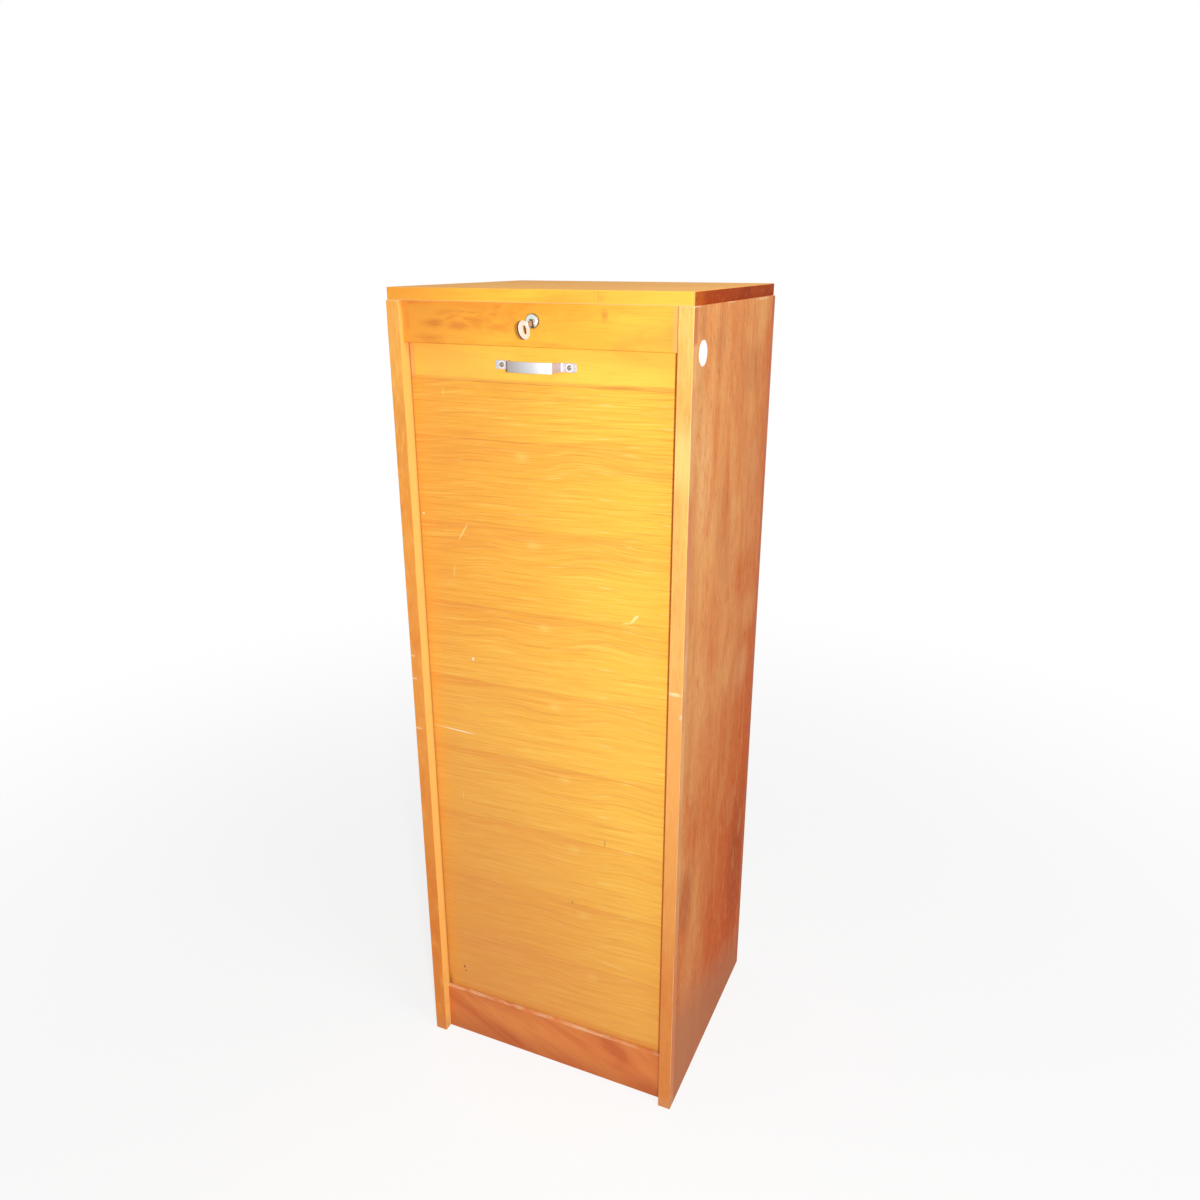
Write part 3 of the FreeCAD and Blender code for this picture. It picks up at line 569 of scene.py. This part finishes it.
def right_lipping_finish(tones):
    """Front lipping on the right: a duller face, a pale place high up and knocks at half height."""
    tree = lipping_finish("right_front_lipping", shades(tones, "right"), 4.0)
    x, _, z = tree.split()
    on_face = tree.times(tree.spread(x, 0.2066, 0.2062), tree.spread(x, 0.1882, 0.1886))
    tree.lay(rgb(236, 158, 92), tree.times(on_face, tree.spread(z, 0.35, 0.55, 0.36)))
    tree.spot(rgb(255, 214, 134), 0.5, (0.197, lipping_face, 0.99), (0.03, 0.003, 0.06), soft=0.8)
    knock = rgb(255, 224, 170)
    tree.spot(knock, 0.6, (0.197, lipping_face, 0.6875), (0.011, 0.003, 0.0034))
    tree.spot(knock, 0.6, (0.195, lipping_face, 0.6890), (0.009, 0.003, 0.0016))
    tree.spot(rgb(255, 206, 166), 0.7, (0.2055, lipping_face, 0.657), (0.0025, 0.003, 0.005))
    tree.colour()


def left_lipping_finish(tones):
    """Front lipping on the left: blotched, redder lower down, with knocks on its outer arris."""
    tree = lipping_finish("left_front_lipping", shades(tones, "left"), 9.0)
    x, _, z = tree.split()
    blotch = tree.noise(tree.mapped(grain_scale("z", 1.6), (3, 1, 1)), 46, 3, 0.6)
    on_face = tree.spread(x, -0.1882, -0.1886)
    red_patch = tree.times(tree.spread(blotch, 0.48, 0.66, 0.45), on_face)
    tree.lay(rgb(206, 94, 34), tree.times(red_patch, tree.spread(z, 1.05, 0.75, 1.0, 0.2)))
    tree.fade(rgb(246, 182, 96), blotch, 0.44, 0.3, 0.5)
    tree.fade(rgb(252, 186, 92), z, 0.9, 1.1, 0.5)
    tree.lay(rgb(245, 151, 56), tree.times(on_face, tree.spread(z, 1.05, 0.85, 0.4)))
    for height, wide in ((0.674, 0.005), (0.638, 0.006), (0.558, 0.010)):
        tree.spot(rgb(255, 214, 160), 0.7, (-0.203, lipping_face, height), (wide, 0.003, 0.0018))
    tree.colour()


def rear_lipping_finish(tones):
    """Rear lippings, darker and redder on their outer side towards the floor."""
    tree = lipping_finish("lipping", shades(tones, "rear"), 13.0, (206, 116, 60), (196, 98, 44))
    x, _, z = tree.split()
    tree.lay(rgb(184, 82, 28), tree.times(outer_side(tree, x), tree.spread(z, 1.0, 0.5, 0.75, 0.25)))
    tree.colour()


def plain_wood_finishes(tones):
    """Woods without marks of their own."""
    for name, along, part, seed, figure, roughness, specular in (
        ("front_wood", "x", "front", 6.0, 10.0, 0.42, 0.22),
        ("top_board", "x", "top", 2.0, 8.0, 0.55, 0.02),
        ("inner_wood", "z", "inner", 10.0, 9.0, 0.6, 0.25),
        ("plywood", "x", "plywood", 12.0, 9.0, 0.6, 0.25),
    ):
        tree = FinishTree(name, roughness, specular)
        wood(tree, along, shades(tones, part), seed, figure)
        tree.colour()


def top_lipping_finish(tones):
    """Front edge of the top: redder to the left, a dark fleck, and a pale lower arris that is wear and
    painted highlight.
    """
    tree = varnished("top_front_lipping")
    x, _, z = tree.split()
    wood(tree, "x", shades(tones, "front"), 17.0, figure=14.0, pores=0.45)
    tree.fade(rgb(240, 154, 54), x, 0.0, -0.21, 0.8)
    tree.fade(rgb(255, 220, 104), x, -0.05, 0.2, 0.2)
    fleck = rgb(214, 140, 60)
    tree.spot(fleck, 0.4, (0.0897, 0, 1.173), (0.0016, 1, 0.010))
    tree.spot(fleck, 0.3, (0.094, 0, 1.171), (0.005, 1, 0.005))
    # Pale lower arris: wear and painted highlight
    tree.fade(rgb(255, 226, 180), z, 1.1651, 1.1645, 0.45)
    tree.colour()


def lock_rail_finish(tones):
    """Rail with the lock: patchy to the left, with ragged reddish smudges."""
    tree = varnished("lock_rail")
    x = tree.split()[0]
    wood(tree, "x", shades(tones, "front"), 21.0, figure=13.0, pores=0.45)
    cloud = tree.noise(tree.mapped(grain_scale("x", 3), (4, 2, 6)), 42, 4, 0.65, 0.6)
    tree.fade(rgb(236, 150, 56), x, 0.05, -0.2, 0.8)
    patchy = tree.times(tree.spread(cloud, 0.46, 0.66), tree.spread(x, 0.06, -0.12, 0.75, 0.25))
    tree.lay(rgb(222, 128, 46), patchy)
    ragged = tree.spread(cloud, 0.3, 0.6, 1.0, 0.35)
    for tone, strength, across, height, wide, high in (
        (rgb(200, 104, 42), 0.75, -0.143, 1.137, 0.026, 0.009),
        (rgb(206, 112, 48), 0.5, -0.108, 1.134, 0.024, 0.008),
        (rgb(212, 118, 60), 0.6, -0.181, 1.140, 0.006, 0.024),
        (rgb(206, 112, 48), 0.4, -0.150, 1.120, 0.034, 0.006),
        (rgb(210, 118, 52), 0.6, 0.0946, 1.151, 0.007, 0.011),
        (rgb(214, 128, 56), 0.3, 0.01, 1.117, 0.05, 0.004),
    ):
        tree.spot(tone, strength, (across, 0, height), (wide, 1, high), soft=0.8, ragged=ragged)
    tree.fade(rgb(255, 214, 112), x, 0.03, 0.17, 0.12)
    tree.lay(rgb(236, 150, 50), tree.times(hill(tree, x, 0.03, 0.06), 0.2))
    tree.fade(rgb(250, 184, 120), x, 0.1775, 0.183, 0.55)
    tree.colour()


def lead_rail_finish(tones):
    """Lead rail of the curtain: painted shade under the lock rail, end bevels paler as painted light, and a
    lower edge darkened in ragged patches as painted shade.
    """
    tree = varnished("lead_rail")
    x, _, z = tree.split()
    wood(tree, "x", shades(tones, "lead"), 33.0, figure=12.0, lines=0.4, pores=0.4)
    tree.fade(rgb(250, 182, 80), x, 0.0, -0.2, 0.4)
    # Painted shade under the lock rail
    tree.fade(rgb(170, 96, 44), z, 1.1104, 1.1110, 0.6)
    # Painted light on the end bevels
    tree.fade(rgb(250, 186, 124), tree.unsigned(x), 0.180, 0.1845, 0.55)
    # Painted shade on the lower bevel, ragged along its length
    tree.fade(rgb(226, 142, 66), z, 1.0715, 1.0675, 0.45)
    low_edge = tree.noise(tree.mapped(grain_scale("x", 8), (1, 3, 2)), 60, 2, 0.6)
    ragged_lower_shade = tree.times(tree.spread(z, 1.0735, 1.068), tree.spread(low_edge, 0.42, 0.62, 0.65))
    tree.lay(rgb(194, 108, 50), ragged_lower_shade)
    # Painted shadow of the right lipping on the lead rail
    painted_lipping_shadow(tree, x)
    tree.colour()


def plinth_finish(tones):
    """Plinth: slanting figure, darker towards the floor, a worn upper arris."""
    tree = varnished("plinth_wood", 0.5)
    z = tree.split()[2]
    wood(tree, "x", shades(tones, "plinth"), 8.0, figure=22.0, turn=-24)
    tree.fade(rgb(168, 80, 42), z, 0.05, 0.0, 0.45)
    wear = tree.noise(tree.mapped(grain_scale("x", 3)), 90, 3, 0.6)
    worn = tree.times(tree.spread(z, 0.0798, 0.0812), tree.spread(wear, 0.35, 0.62, 0.8, 0.1))
    tree.lay(rgb(228, 186, 146), worn)
    tree.colour()


def top_edge_finish(tones):
    """Side edges of the top: dark red and speckled, but toned as the top where they face upwards."""
    tree = varnished("top_edge", 0.5, 0.02)
    _, y, z = tree.split()
    wood(tree, "y", shades(tones, "edge"), 5.0, figure=20.0)
    speckle = tree.noise(tree.mapped(grain_scale("y", 2)), 170, 3, 0.6)
    tree.fade(rgb(206, 106, 34), y, -0.1, -0.155, 0.6)
    tree.fade(rgb(150, 48, 2), y, 0.0, 0.17, 0.4)
    tree.fade(rgb(112, 40, 8), speckle, 0.52, 0.7, 0.45)
    tree.fade(rgb(214, 110, 40), speckle, 0.44, 0.3, 0.3)
    tree.fade(tones.top_middle, z, 1.1790, 1.1797)
    tree.colour()


def canvas_finish(tones):
    """Coarse, dusty cloth: the sines make one thread every 1.5 mm."""
    tree = FinishTree("canvas", 0.9, 0.2)
    x, y, z = tree.split()
    threads = 4200.0
    warp = tree.math("SINE", tree.times(x, threads))
    weft = tree.math("SINE", tree.times(tree.plus(z, y), threads))
    weave = tree.times(warp, weft)
    dust = tree.noise(tree.mapped(), 40, 3, 0.6)
    tree.body = tree.mix(tree.spread(weave, -0.6, 0.6), tones.canvas_thread, tones.canvas_shade)
    tree.fade(rgb(150, 136, 112), dust, 0.45, 0.7, 0.4)
    tree.colour()
    tree.bump(weave, 0.4, 0.0002)


def pull_finish(tones):
    """Strap pull: painted reflections on the grip, dim to the left and white to the right, a brown line of
    painted shade on its left bend, bright collars at its screws.
    """
    tree = brushed("pull_metal", "x", tones.pull_bright, tones.pull_dull, 0.55)
    x, y, z = tree.split()
    grip = tree.spread(y, -0.158, -0.162)
    # Painted reflections on the grip to the left and right of its middle, then painted shade on its left
    # bend, and its legs
    dull = tree.mix(tree.spread(x, -0.036, 0.012), rgb(180, 174, 170), rgb(214, 214, 218))
    tree.lay(dull, tree.times(grip, tree.spread(x, 0.03, 0.002)))
    tree.lay(rgb(252, 252, 254), tree.times(grip, tree.spread(x, 0.0, 0.028)))
    bend_shade = tree.times(tree.spread(y, -0.156, -0.160), tree.spread(x, -0.0322, -0.0332))
    tree.lay(rgb(116, 76, 56), bend_shade)
    leg = tree.times(tree.spread(y, -0.1625, -0.1600), tree.spread(y, -0.1455, -0.1475))
    tree.lay(rgb(206, 196, 210), leg)
    for screw in (-0.0505, 0.0435):
        collar = away_from(tree, x, z, screw, 1.0885)
        tree.fade(rgb(252, 252, 252), collar, 0.0052, 0.0042)
    tree.colour()


def key_finish(tones):
    """Key: painted shade that makes the hole of its bow brown, its rim dark red and its stem darker."""
    tree = brushed("key_metal", "z", tones.key_bright, tones.key_dull, 0.5, specular=0.1, metallic=0.45)
    x, y, z = tree.split()
    # Painted shade inside the hole of the bow
    # The hole is 1.45 times as high as it is deep
    hole = away_from(tree, tree.times(y, 1.45), z, -0.26115, 1.1343)
    tree.fade(rgb(150, 92, 52), hole, 0.0058, 0.0048)
    # Painted shade on the stem
    stem = tree.times(tree.spread(y, -0.1702, -0.1682), tree.spread(z, 1.1360, 1.1366))
    tree.lay(rgb(166, 134, 98), stem)
    # Painted shade along the rim of the bow
    # The key leans 12 degrees, whose sine is 0.208 and cosine 0.978
    lean = tree.times(tree.minus(z, keyway_height), 0.208)
    thick = tree.unsigned(tree.plus(tree.times(x, 0.978), lean))
    rim = tree.times(tree.spread(thick, 0.00095, 0.0007), tree.spread(y, -0.174, -0.182))
    tree.lay(rgb(104, 34, 14), rim)
    tree.colour()


def lock_finish(tones):
    """Lock: a darker edge round its face, and painted shade in its leaning keyway."""
    tree = brushed("lock_metal", "x", tones.lock_bright, tones.lock_dull, 0.3)
    x, _, z = tree.split()
    edge = away_from(tree, x, z, 0.0, 1.143)
    tree.fade(rgb(108, 100, 76), edge, 0.0076, 0.0084, 0.85)
    # Painted shade in and round the leaning keyway
    above = tree.minus(z, keyway_height)
    way = tree.unsigned(tree.plus(x, tree.times(above, 0.21)))
    high = tree.unsigned(above)
    keyway_shade = tree.times(tree.spread(way, 0.0027, 0.0019), tree.spread(high, 0.0056, 0.0046))
    tree.lay(rgb(92, 84, 70), keyway_shade)
    tree.colour()


def steel_finish(tones):
    """Screws, nut and keeper."""
    brushed("steel", "x", tones.steel_bright, tones.steel_dull, 0.42)


def paper_finish(tones):
    """Paper with a faint fibre."""
    tree = FinishTree("paper", 0.8, 0.2)
    fibre = tree.noise(tree.mapped(), 700, 3, 0.6)
    tree.body = tones.paper
    tree.fade(rgb(226, 226, 228), fibre, 0.4, 0.7, 0.25)
    tree.colour()
    tree.bump(fibre, 0.1, 0.0001)


def finishes(tones):
    """One material for each material slot, and one for each piece whose wear, tone or painted light is its
    own.
    """
    for make in (side_finish, right_lipping_finish, left_lipping_finish, rear_lipping_finish,
                 plain_wood_finishes, top_lipping_finish, lock_rail_finish, lead_rail_finish, plinth_finish,
                 top_edge_finish, curtain_finish, canvas_finish, pull_finish, steel_finish, key_finish,
                 lock_finish, paper_finish):
        make(tones)


def ready(name):
    """The finish of that name. The first call makes them all."""
    if "paper_finish" not in bpy.data.materials:
        finishes(bpy.context.scene.cabinet_tones)
    return bpy.data.materials[name + "_finish"]


def length(name, description, default):
    """Size setting, in metres."""
    return bpy.props.FloatProperty(name=name, description=description, default=default, unit="LENGTH")


def tint(name, red, green, blue):
    """Colour setting, given as 0 to 255 in sRGB."""
    return bpy.props.FloatVectorProperty(name=name, description="Colour: " + name.lower(), size=4,
                                         min=0, max=1, subtype="COLOR", default=rgb(red, green, blue))


class CabinetSettings(bpy.types.PropertyGroup):
    slat_count: bpy.props.IntProperty(name="Straight slats", description="Slats above the bend", default=107)
    bend_count: bpy.props.IntProperty(name="Bent slats", description="Slats in the bend", default=3)
    slat_pitch: length("Slat pitch", "Height of one slat and its gap", 0.0093)
    slat_gap: length("Slat gap", "Gap between two slats", 0.00008)
    slat_thickness: length("Slat thickness", "Front to back", 0.007)
    bend_radius: length("Bend radius", "From the bend's centre to the backs of its slats", 0.042)
    bend_height: length("Bend height", "Centre of the bend above the floor", 0.067)
    strap_thickness: length("Strap thickness", "Sheet of the pull", 0.0016)
    strap_shoulder: length("Strap shoulder", "Pull's height at its bends", 0.02)
    strap_crown: length("Strap crown", "How far the grip bows out further", 0.0025)


class CabinetTones(bpy.types.PropertyGroup):
    curtain_yellow: tint("Curtain, right side", 254, 199, 72)
    curtain_amber: tint("Curtain, left side", 244, 168, 64)
    curtain_red: tint("Curtain bands", 236, 150, 62)
    curtain_brown: tint("Curtain lines", 200, 122, 60)
    front_pale: tint("Rails, pale", 253, 196, 66)
    front_middle: tint("Rails, middle", 247, 176, 58)
    front_dark: tint("Rails, dark", 230, 142, 50)
    lead_pale: tint("Lead rail, pale", 254, 204, 80)
    lead_middle: tint("Lead rail, middle", 252, 192, 76)
    lead_dark: tint("Lead rail, dark", 240, 164, 66)
    side_pale: tint("Sides, pale", 234, 166, 98)
    side_red: tint("Sides, red", 220, 132, 70)
    side_brown: tint("Side fibres", 150, 80, 38)
    side_deep: tint("Sides, lower rear", 205, 84, 14)
    right_pale: tint("Right lipping, pale", 254, 204, 106)
    right_middle: tint("Right lipping, middle", 246, 184, 90)
    right_dark: tint("Right lipping, dark", 224, 146, 70)
    left_pale: tint("Left lipping, pale", 242, 168, 76)
    left_middle: tint("Left lipping, middle", 232, 150, 64)
    left_dark: tint("Left lipping, dark", 212, 120, 50)
    rear_pale: tint("Rear lippings, pale", 214, 128, 70)
    rear_middle: tint("Rear lippings, middle", 200, 104, 54)
    rear_dark: tint("Rear lippings, dark", 168, 80, 42)
    top_pale: tint("Top, pale", 254, 192, 104)
    top_middle: tint("Top, middle", 250, 180, 92)
    top_dark: tint("Top, dark", 236, 156, 76)
    edge_pale: tint("Top's side edges, pale", 178, 76, 10)
    edge_middle: tint("Top's side edges, middle", 162, 58, 6)
    edge_dark: tint("Top's side edges, dark", 124, 42, 4)
    plinth_pale: tint("Plinth, pale", 226, 138, 70)
    plinth_middle: tint("Plinth, middle", 212, 116, 58)
    plinth_dark: tint("Plinth, dark", 184, 86, 42)
    inner_pale: tint("Inside, pale", 226, 190, 142)
    inner_middle: tint("Inside, middle", 212, 172, 122)
    inner_dark: tint("Inside, dark", 190, 148, 100)
    plywood_pale: tint("Plywood, pale", 220, 186, 140)
    plywood_middle: tint("Plywood, middle", 208, 172, 124)
    plywood_dark: tint("Plywood, dark", 186, 146, 100)
    canvas_thread: tint("Canvas thread", 196, 186, 162)
    canvas_shade: tint("Between the threads", 168, 156, 130)
    pull_bright: tint("Pull, bright", 220, 214, 220)
    pull_dull: tint("Pull, dull", 190, 182, 190)
    steel_bright: tint("Screws, bright", 176, 168, 154)
    steel_dull: tint("Screws, dull", 126, 118, 106)
    key_bright: tint("Key, bright", 250, 240, 244)
    key_dull: tint("Key, dull", 226, 212, 214)
    lock_bright: tint("Lock, bright", 228, 236, 230)
    lock_dull: tint("Lock, dull", 200, 206, 202)
    paper: tint("Paper", 246, 247, 250)
    floor: tint("Floor", 243, 243, 243)


class CABINET_OT_finishes(bpy.types.Operator):
    """Gives every CAD node its finish"""
    bl_idname = "cabinet.finishes"
    bl_label = "Finishes"

    def execute(self, context):
        # Pieces whose wear, tone or painted light is their own
        own = {name: name for name in ("right_front_lipping", "left_front_lipping", "top_board",
                                       "top_front_lipping", "lock_rail", "lead_rail")}
        own.update(top_left_lipping="top_edge", top_right_lipping="top_edge")
        for name, node in cad_nodes.items():
            node.data.materials.clear()
            node.data.materials.append(ready(own.get(name, finish_of_node[name])))
        return {"FINISHED"}


class CABINET_OT_curtain(bpy.types.Operator):
    """Slats and canvas of the curtain, a few of the slats turned round the bend at its foot"""
    bl_idname = "cabinet.curtain"
    bl_label = "Curtain"

    def execute(self, context):
        settings = context.scene.cabinet
        low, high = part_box("curtain_slats")
        pitch, thickness = settings.slat_pitch, settings.slat_thickness
        face, middle = low.y, high.z - pitch / 2
        deselect()
        bpy.ops.mesh.primitive_cube_add(size=1, location=(0, face + thickness / 2, middle),
                                        scale=(high.x - low.x, thickness, pitch - settings.slat_gap))
        slat = settle(context.object)
        slat.name = "curtain_front"
        finished(slat, "BEVEL", width=0.00015, segments=2, limit_method="ANGLE")

        # The slats in the bend, the first of them a little way round it
        radius, start = settings.bend_radius, 0.00125
        centre = Vector((0, face + thickness + radius, settings.bend_height))
        bent = []
        for step in range(settings.bend_count):
            only(slat)
            bpy.ops.object.duplicate()
            bpy.ops.transform.translate(value=(0, 0, centre.z - middle))
            bpy.ops.object.transform_apply(location=True, rotation=False, scale=False)
            bpy.ops.object.mode_set(mode="EDIT")
            bpy.ops.mesh.select_all(action="SELECT")
            bpy.ops.transform.rotate(value=-(start + pitch * step) / radius, orient_axis="X",
                                     center_override=centre)
            bpy.ops.object.mode_set(mode="OBJECT")
            bent.append(context.object)

        finished(slat, "ARRAY", count=settings.slat_count, use_relative_offset=False,
                 use_constant_offset=True, constant_offset_displace=(0, 0, -pitch))
        for copy in bent:
            copy.select_set(True)
        bpy.ops.object.join()
        dress(slat, "curtain_veneer", "curtain", "curtain_slats")
        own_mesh(slat)

        cloth = copied("curtain_canvas", "curtain_cloth")
        dress(cloth, "canvas", "curtain", "curtain_canvas")
        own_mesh(cloth)
        return {"FINISHED"}


class CABINET_OT_handle(bpy.types.Operator):
    """Strap pull: a strip bent out from its feet, crowned along the grip, with rolled edges"""
    bl_idname = "cabinet.handle"
    bl_label = "Handle"

    def execute(self, context):
        settings = context.scene.cabinet
        low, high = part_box("handle")
        middle = (low + high) / 2
        half, back = (high.x - low.x) / 2, high.y
        foot_width, grip_width = 0.011, high.z - low.z
        sheet = settings.strap_thickness
        shoulder, crown = settings.strap_shoulder - sheet, settings.strap_crown
        # Bend places from the middle: along X, out from the rail, and the strip's width there
        foot, bend = 0.0346, 0.0298
        path = ((-foot, 0.0, foot_width), (-bend, shoulder, grip_width),
                (0.0, shoulder + 2 * crown, grip_width), (bend, shoulder, grip_width),
                (foot, 0.0, foot_width), (half, 0.0, foot_width))

        # The strip starts as a short plane at its left end and is drawn along the path
        start = 0.008
        deselect()
        bpy.ops.mesh.primitive_plane_add(size=1, location=(middle.x - half + start / 2, back, middle.z),
                                         rotation=(math.radians(90), 0, 0))
        strap = context.object
        strap.name = "pull_strap"
        strap.scale = (start, foot_width, 1)
        settle(strap)
        bpy.ops.object.mode_set(mode="EDIT")
        pick_points(strap, lambda at: at.x > middle.x - half + start / 2)
        here, width = Vector((middle.x - half + start, back, middle.z)), foot_width
        for x, out, next_width in path:
            there = Vector((middle.x + x, back - out, middle.z))
            bpy.ops.mesh.extrude_region_move(TRANSFORM_OT_translate={"value": there - here})
            bpy.ops.transform.resize(value=(1, 1, next_width / width), center_override=there)
            here, width = there, next_width

        # Its bends are rounded, the crown most, then the corners of its feet
        for x, offset, segments in ((foot, 0.00356, 6), (bend, 0.00117, 6), (0.0, 0.0272, 14)):
            pick_points(strap, lambda at: abs(abs(at.x - middle.x) - x) < 0.0001)
            bpy.ops.mesh.bevel(offset=offset, segments=segments)
        pick_points(strap, lambda at: abs(abs(at.x - middle.x) - half) < 0.0001)
        bpy.ops.mesh.bevel(offset=0.0025, segments=6, affect="VERTICES")
        bpy.ops.mesh.select_all(action="SELECT")
        bpy.ops.mesh.normals_make_consistent(inside=False)
        bpy.ops.object.mode_set(mode="OBJECT")
        turned = strap.data.polygons[0].normal.y > 0
        finished(strap, "SOLIDIFY", thickness=sheet, offset=-1 if turned else 1)
        finished(strap, "BEVEL", width=0.00035, segments=3, limit_method="ANGLE", angle_limit=sharp_angle)
        smooth(strap)
        dress(strap, "pull_metal", "curtain", "handle")
        return {"FINISHED"}


class CABINET_OT_fittings(bpy.types.Operator):
    """Lock, key, cam, keeper and screws with softened edges"""
    bl_idname = "cabinet.fittings"
    bl_label = "Fittings"

    def execute(self, context):
        for node, name, body, width in (
            ("handle_screws", "pull_screws", "curtain", 0.00018),
            ("lock_housing", "lock_face", "carcass", 0.00025),
            ("lock_plug", "lock_core", "lock_barrel", 0.00015),
            ("lock_cam", "lock_tongue", "lock_barrel", 0.0002),
            ("cam_screw", "tongue_screw", "lock_barrel", 0.00018),
            ("key", "cabinet_key", "key", 0.00035),
            ("keeper", "hook", "curtain", 0.0002),
            ("keeper_screws", "hook_screws", "curtain", 0.00018),
            ("back_screws", "rear_screws", "carcass", 0.00018),
        ):
            dress(softened(node, name, width), finish_of_node[node], body, node)
        return {"FINISHED"}


class CABINET_OT_stage(bpy.types.Operator):
    """Floor, lamps, white surroundings and the camera"""
    bl_idname = "cabinet.stage"
    bl_label = "Stage"

    def execute(self, context):
        scene = context.scene
        deselect()
        bpy.ops.mesh.primitive_circle_add(vertices=96, radius=6, fill_type="NGON", location=(0, 0, 0))
        floor = context.object
        floor.name = "floor"
        floor.data.materials.append(self.floor_finish(scene.cabinet_tones.floor))
        scene.world = self.surroundings()
        self.lamp("flash_box", (0.73, -1.33, 1.24), (0.05, 0.0, 0.8), 0.08, 15.0)
        self.lamp("right_fill", (1.25, -0.6, 2.45), (0, 0, 0.9), 1.0, 17)
        scene.camera = self.camera(scene)
        scene.view_settings.view_transform = "Standard"
        return {"FINISHED"}

    def surroundings(self):
        """White world, whose light on the cabinet is weaker than what the camera and reflections see."""
        world = bpy.data.worlds.new("surroundings")
        world.use_nodes = True
        nodes, links = world.node_tree.nodes, world.node_tree.links
        nodes["Background"].inputs["Color"].default_value = (1, 1, 1, 1)
        path = nodes.new("ShaderNodeLightPath")
        seen = path.outputs["Is Camera Ray"]
        for ray in ("Is Glossy Ray", "Is Transmission Ray"):
            either = nodes.new("ShaderNodeMath")
            either.operation = "MAXIMUM"
            links.new(seen, either.inputs[0])
            links.new(path.outputs[ray], either.inputs[1])
            seen = either.outputs[0]
        level = nodes.new("ShaderNodeMapRange")
        links.new(seen, level.inputs["Value"])
        level.inputs["To Min"].default_value = 0.42
        level.inputs["To Max"].default_value = 1.0
        links.new(level.outputs["Result"], nodes["Background"].inputs["Strength"])
        return world

    def camera(self, scene):
        """The photograph's camera, as its corners gave it: turned to the left and tilted down, in radians."""
        focal_pixels, frame_pixels = 970.79, 1200
        turned, tilted = 0.4176, 0.342
        camera = bpy.data.cameras.new("camera")
        camera.sensor_width = 36
        camera.lens = focal_pixels / frame_pixels * 36
        camera.clip_start, camera.clip_end = 0.05, 50
        holder = bpy.data.objects.new("camera", camera)
        scene.collection.objects.link(holder)
        holder.location = (0.56713, -1.23350, 1.21866)
        forward = Vector((-math.sin(turned) * math.cos(tilted), math.cos(turned) * math.cos(tilted),
                          -math.sin(tilted)))
        holder.rotation_euler = forward.to_track_quat("-Z", "Y").to_euler()
        return holder

    def lamp(self, name, place, target, size, power):
        """Round lamp that points at a target."""
        bpy.ops.object.light_add(type="AREA", location=place)
        lamp = bpy.context.object
        lamp.name = name
        lamp.data.shape = "DISK"
        lamp.data.size = size
        lamp.data.energy = power
        lamp.rotation_euler = (Vector(target) - Vector(place)).to_track_quat("-Z", "Y").to_euler()

    def floor_finish(self, tone):
        """Pale floor that fades out to the white surroundings away from the cabinet."""
        tree = FinishTree("floor", 0.9, specular=0.0)
        tree.body = tone
        tree.colour()
        x, y, _ = tree.split()
        away = tree.math("SQRT", tree.plus(tree.times(x, x), tree.times(y, y)))
        path = tree.nodes.new("ShaderNodeLightPath")
        glow = tree.nodes.new("ShaderNodeEmission")
        clear = tree.nodes.new("ShaderNodeBsdfTransparent")
        lit = self.shader_mix(tree, tree.times(path.outputs["Is Camera Ray"], 0.8), tree.shader, glow)
        choice = self.shader_mix(tree, tree.spread(away, 0.5, 2.2), lit, clear)
        tree.links.new(choice.outputs[0], tree.nodes["Material Output"].inputs["Surface"])
        return tree.material

    def shader_mix(self, tree, share, first, second):
        node = tree.nodes.new("ShaderNodeMixShader")
        tree.put(node.inputs[0], share)
        tree.links.new(first.outputs[0], node.inputs[1])
        tree.links.new(second.outputs[0], node.inputs[2])
        return node


class CABINET_PT_panel(bpy.types.Panel):
    """Steps of the cabinet, in their order"""
    bl_label = "Cabinet"
    bl_idname = "CABINET_PT_panel"
    bl_space_type = "VIEW_3D"
    bl_region_type = "UI"
    bl_category = "Cabinet"

    def draw(self, context):
        for step in steps:
            self.layout.operator(step.bl_idname)
        scene = context.scene
        for settings, group in ((scene.cabinet, CabinetSettings), (scene.cabinet_tones, CabinetTones)):
            for name in group.__annotations__:
                self.layout.prop(settings, name)


steps = (CABINET_OT_finishes, CABINET_OT_curtain, CABINET_OT_handle, CABINET_OT_fittings, CABINET_OT_stage)


def register():
    for part in (CabinetSettings, CabinetTones, *steps, CABINET_PT_panel):
        bpy.utils.register_class(part)
    bpy.types.Scene.cabinet = bpy.props.PointerProperty(type=CabinetSettings)
    bpy.types.Scene.cabinet_tones = bpy.props.PointerProperty(type=CabinetTones)


def unregister():
    del bpy.types.Scene.cabinet_tones
    del bpy.types.Scene.cabinet
    for part in (CABINET_PT_panel, *reversed(steps), CabinetTones, CabinetSettings):
        bpy.utils.unregister_class(part)


def main():
    register()
    bpy.ops.cabinet.finishes()
    bpy.ops.cabinet.curtain()
    bpy.ops.cabinet.handle()
    bpy.ops.cabinet.fittings()
    bpy.ops.cabinet.stage()


if __name__ == "__main__":
    main()
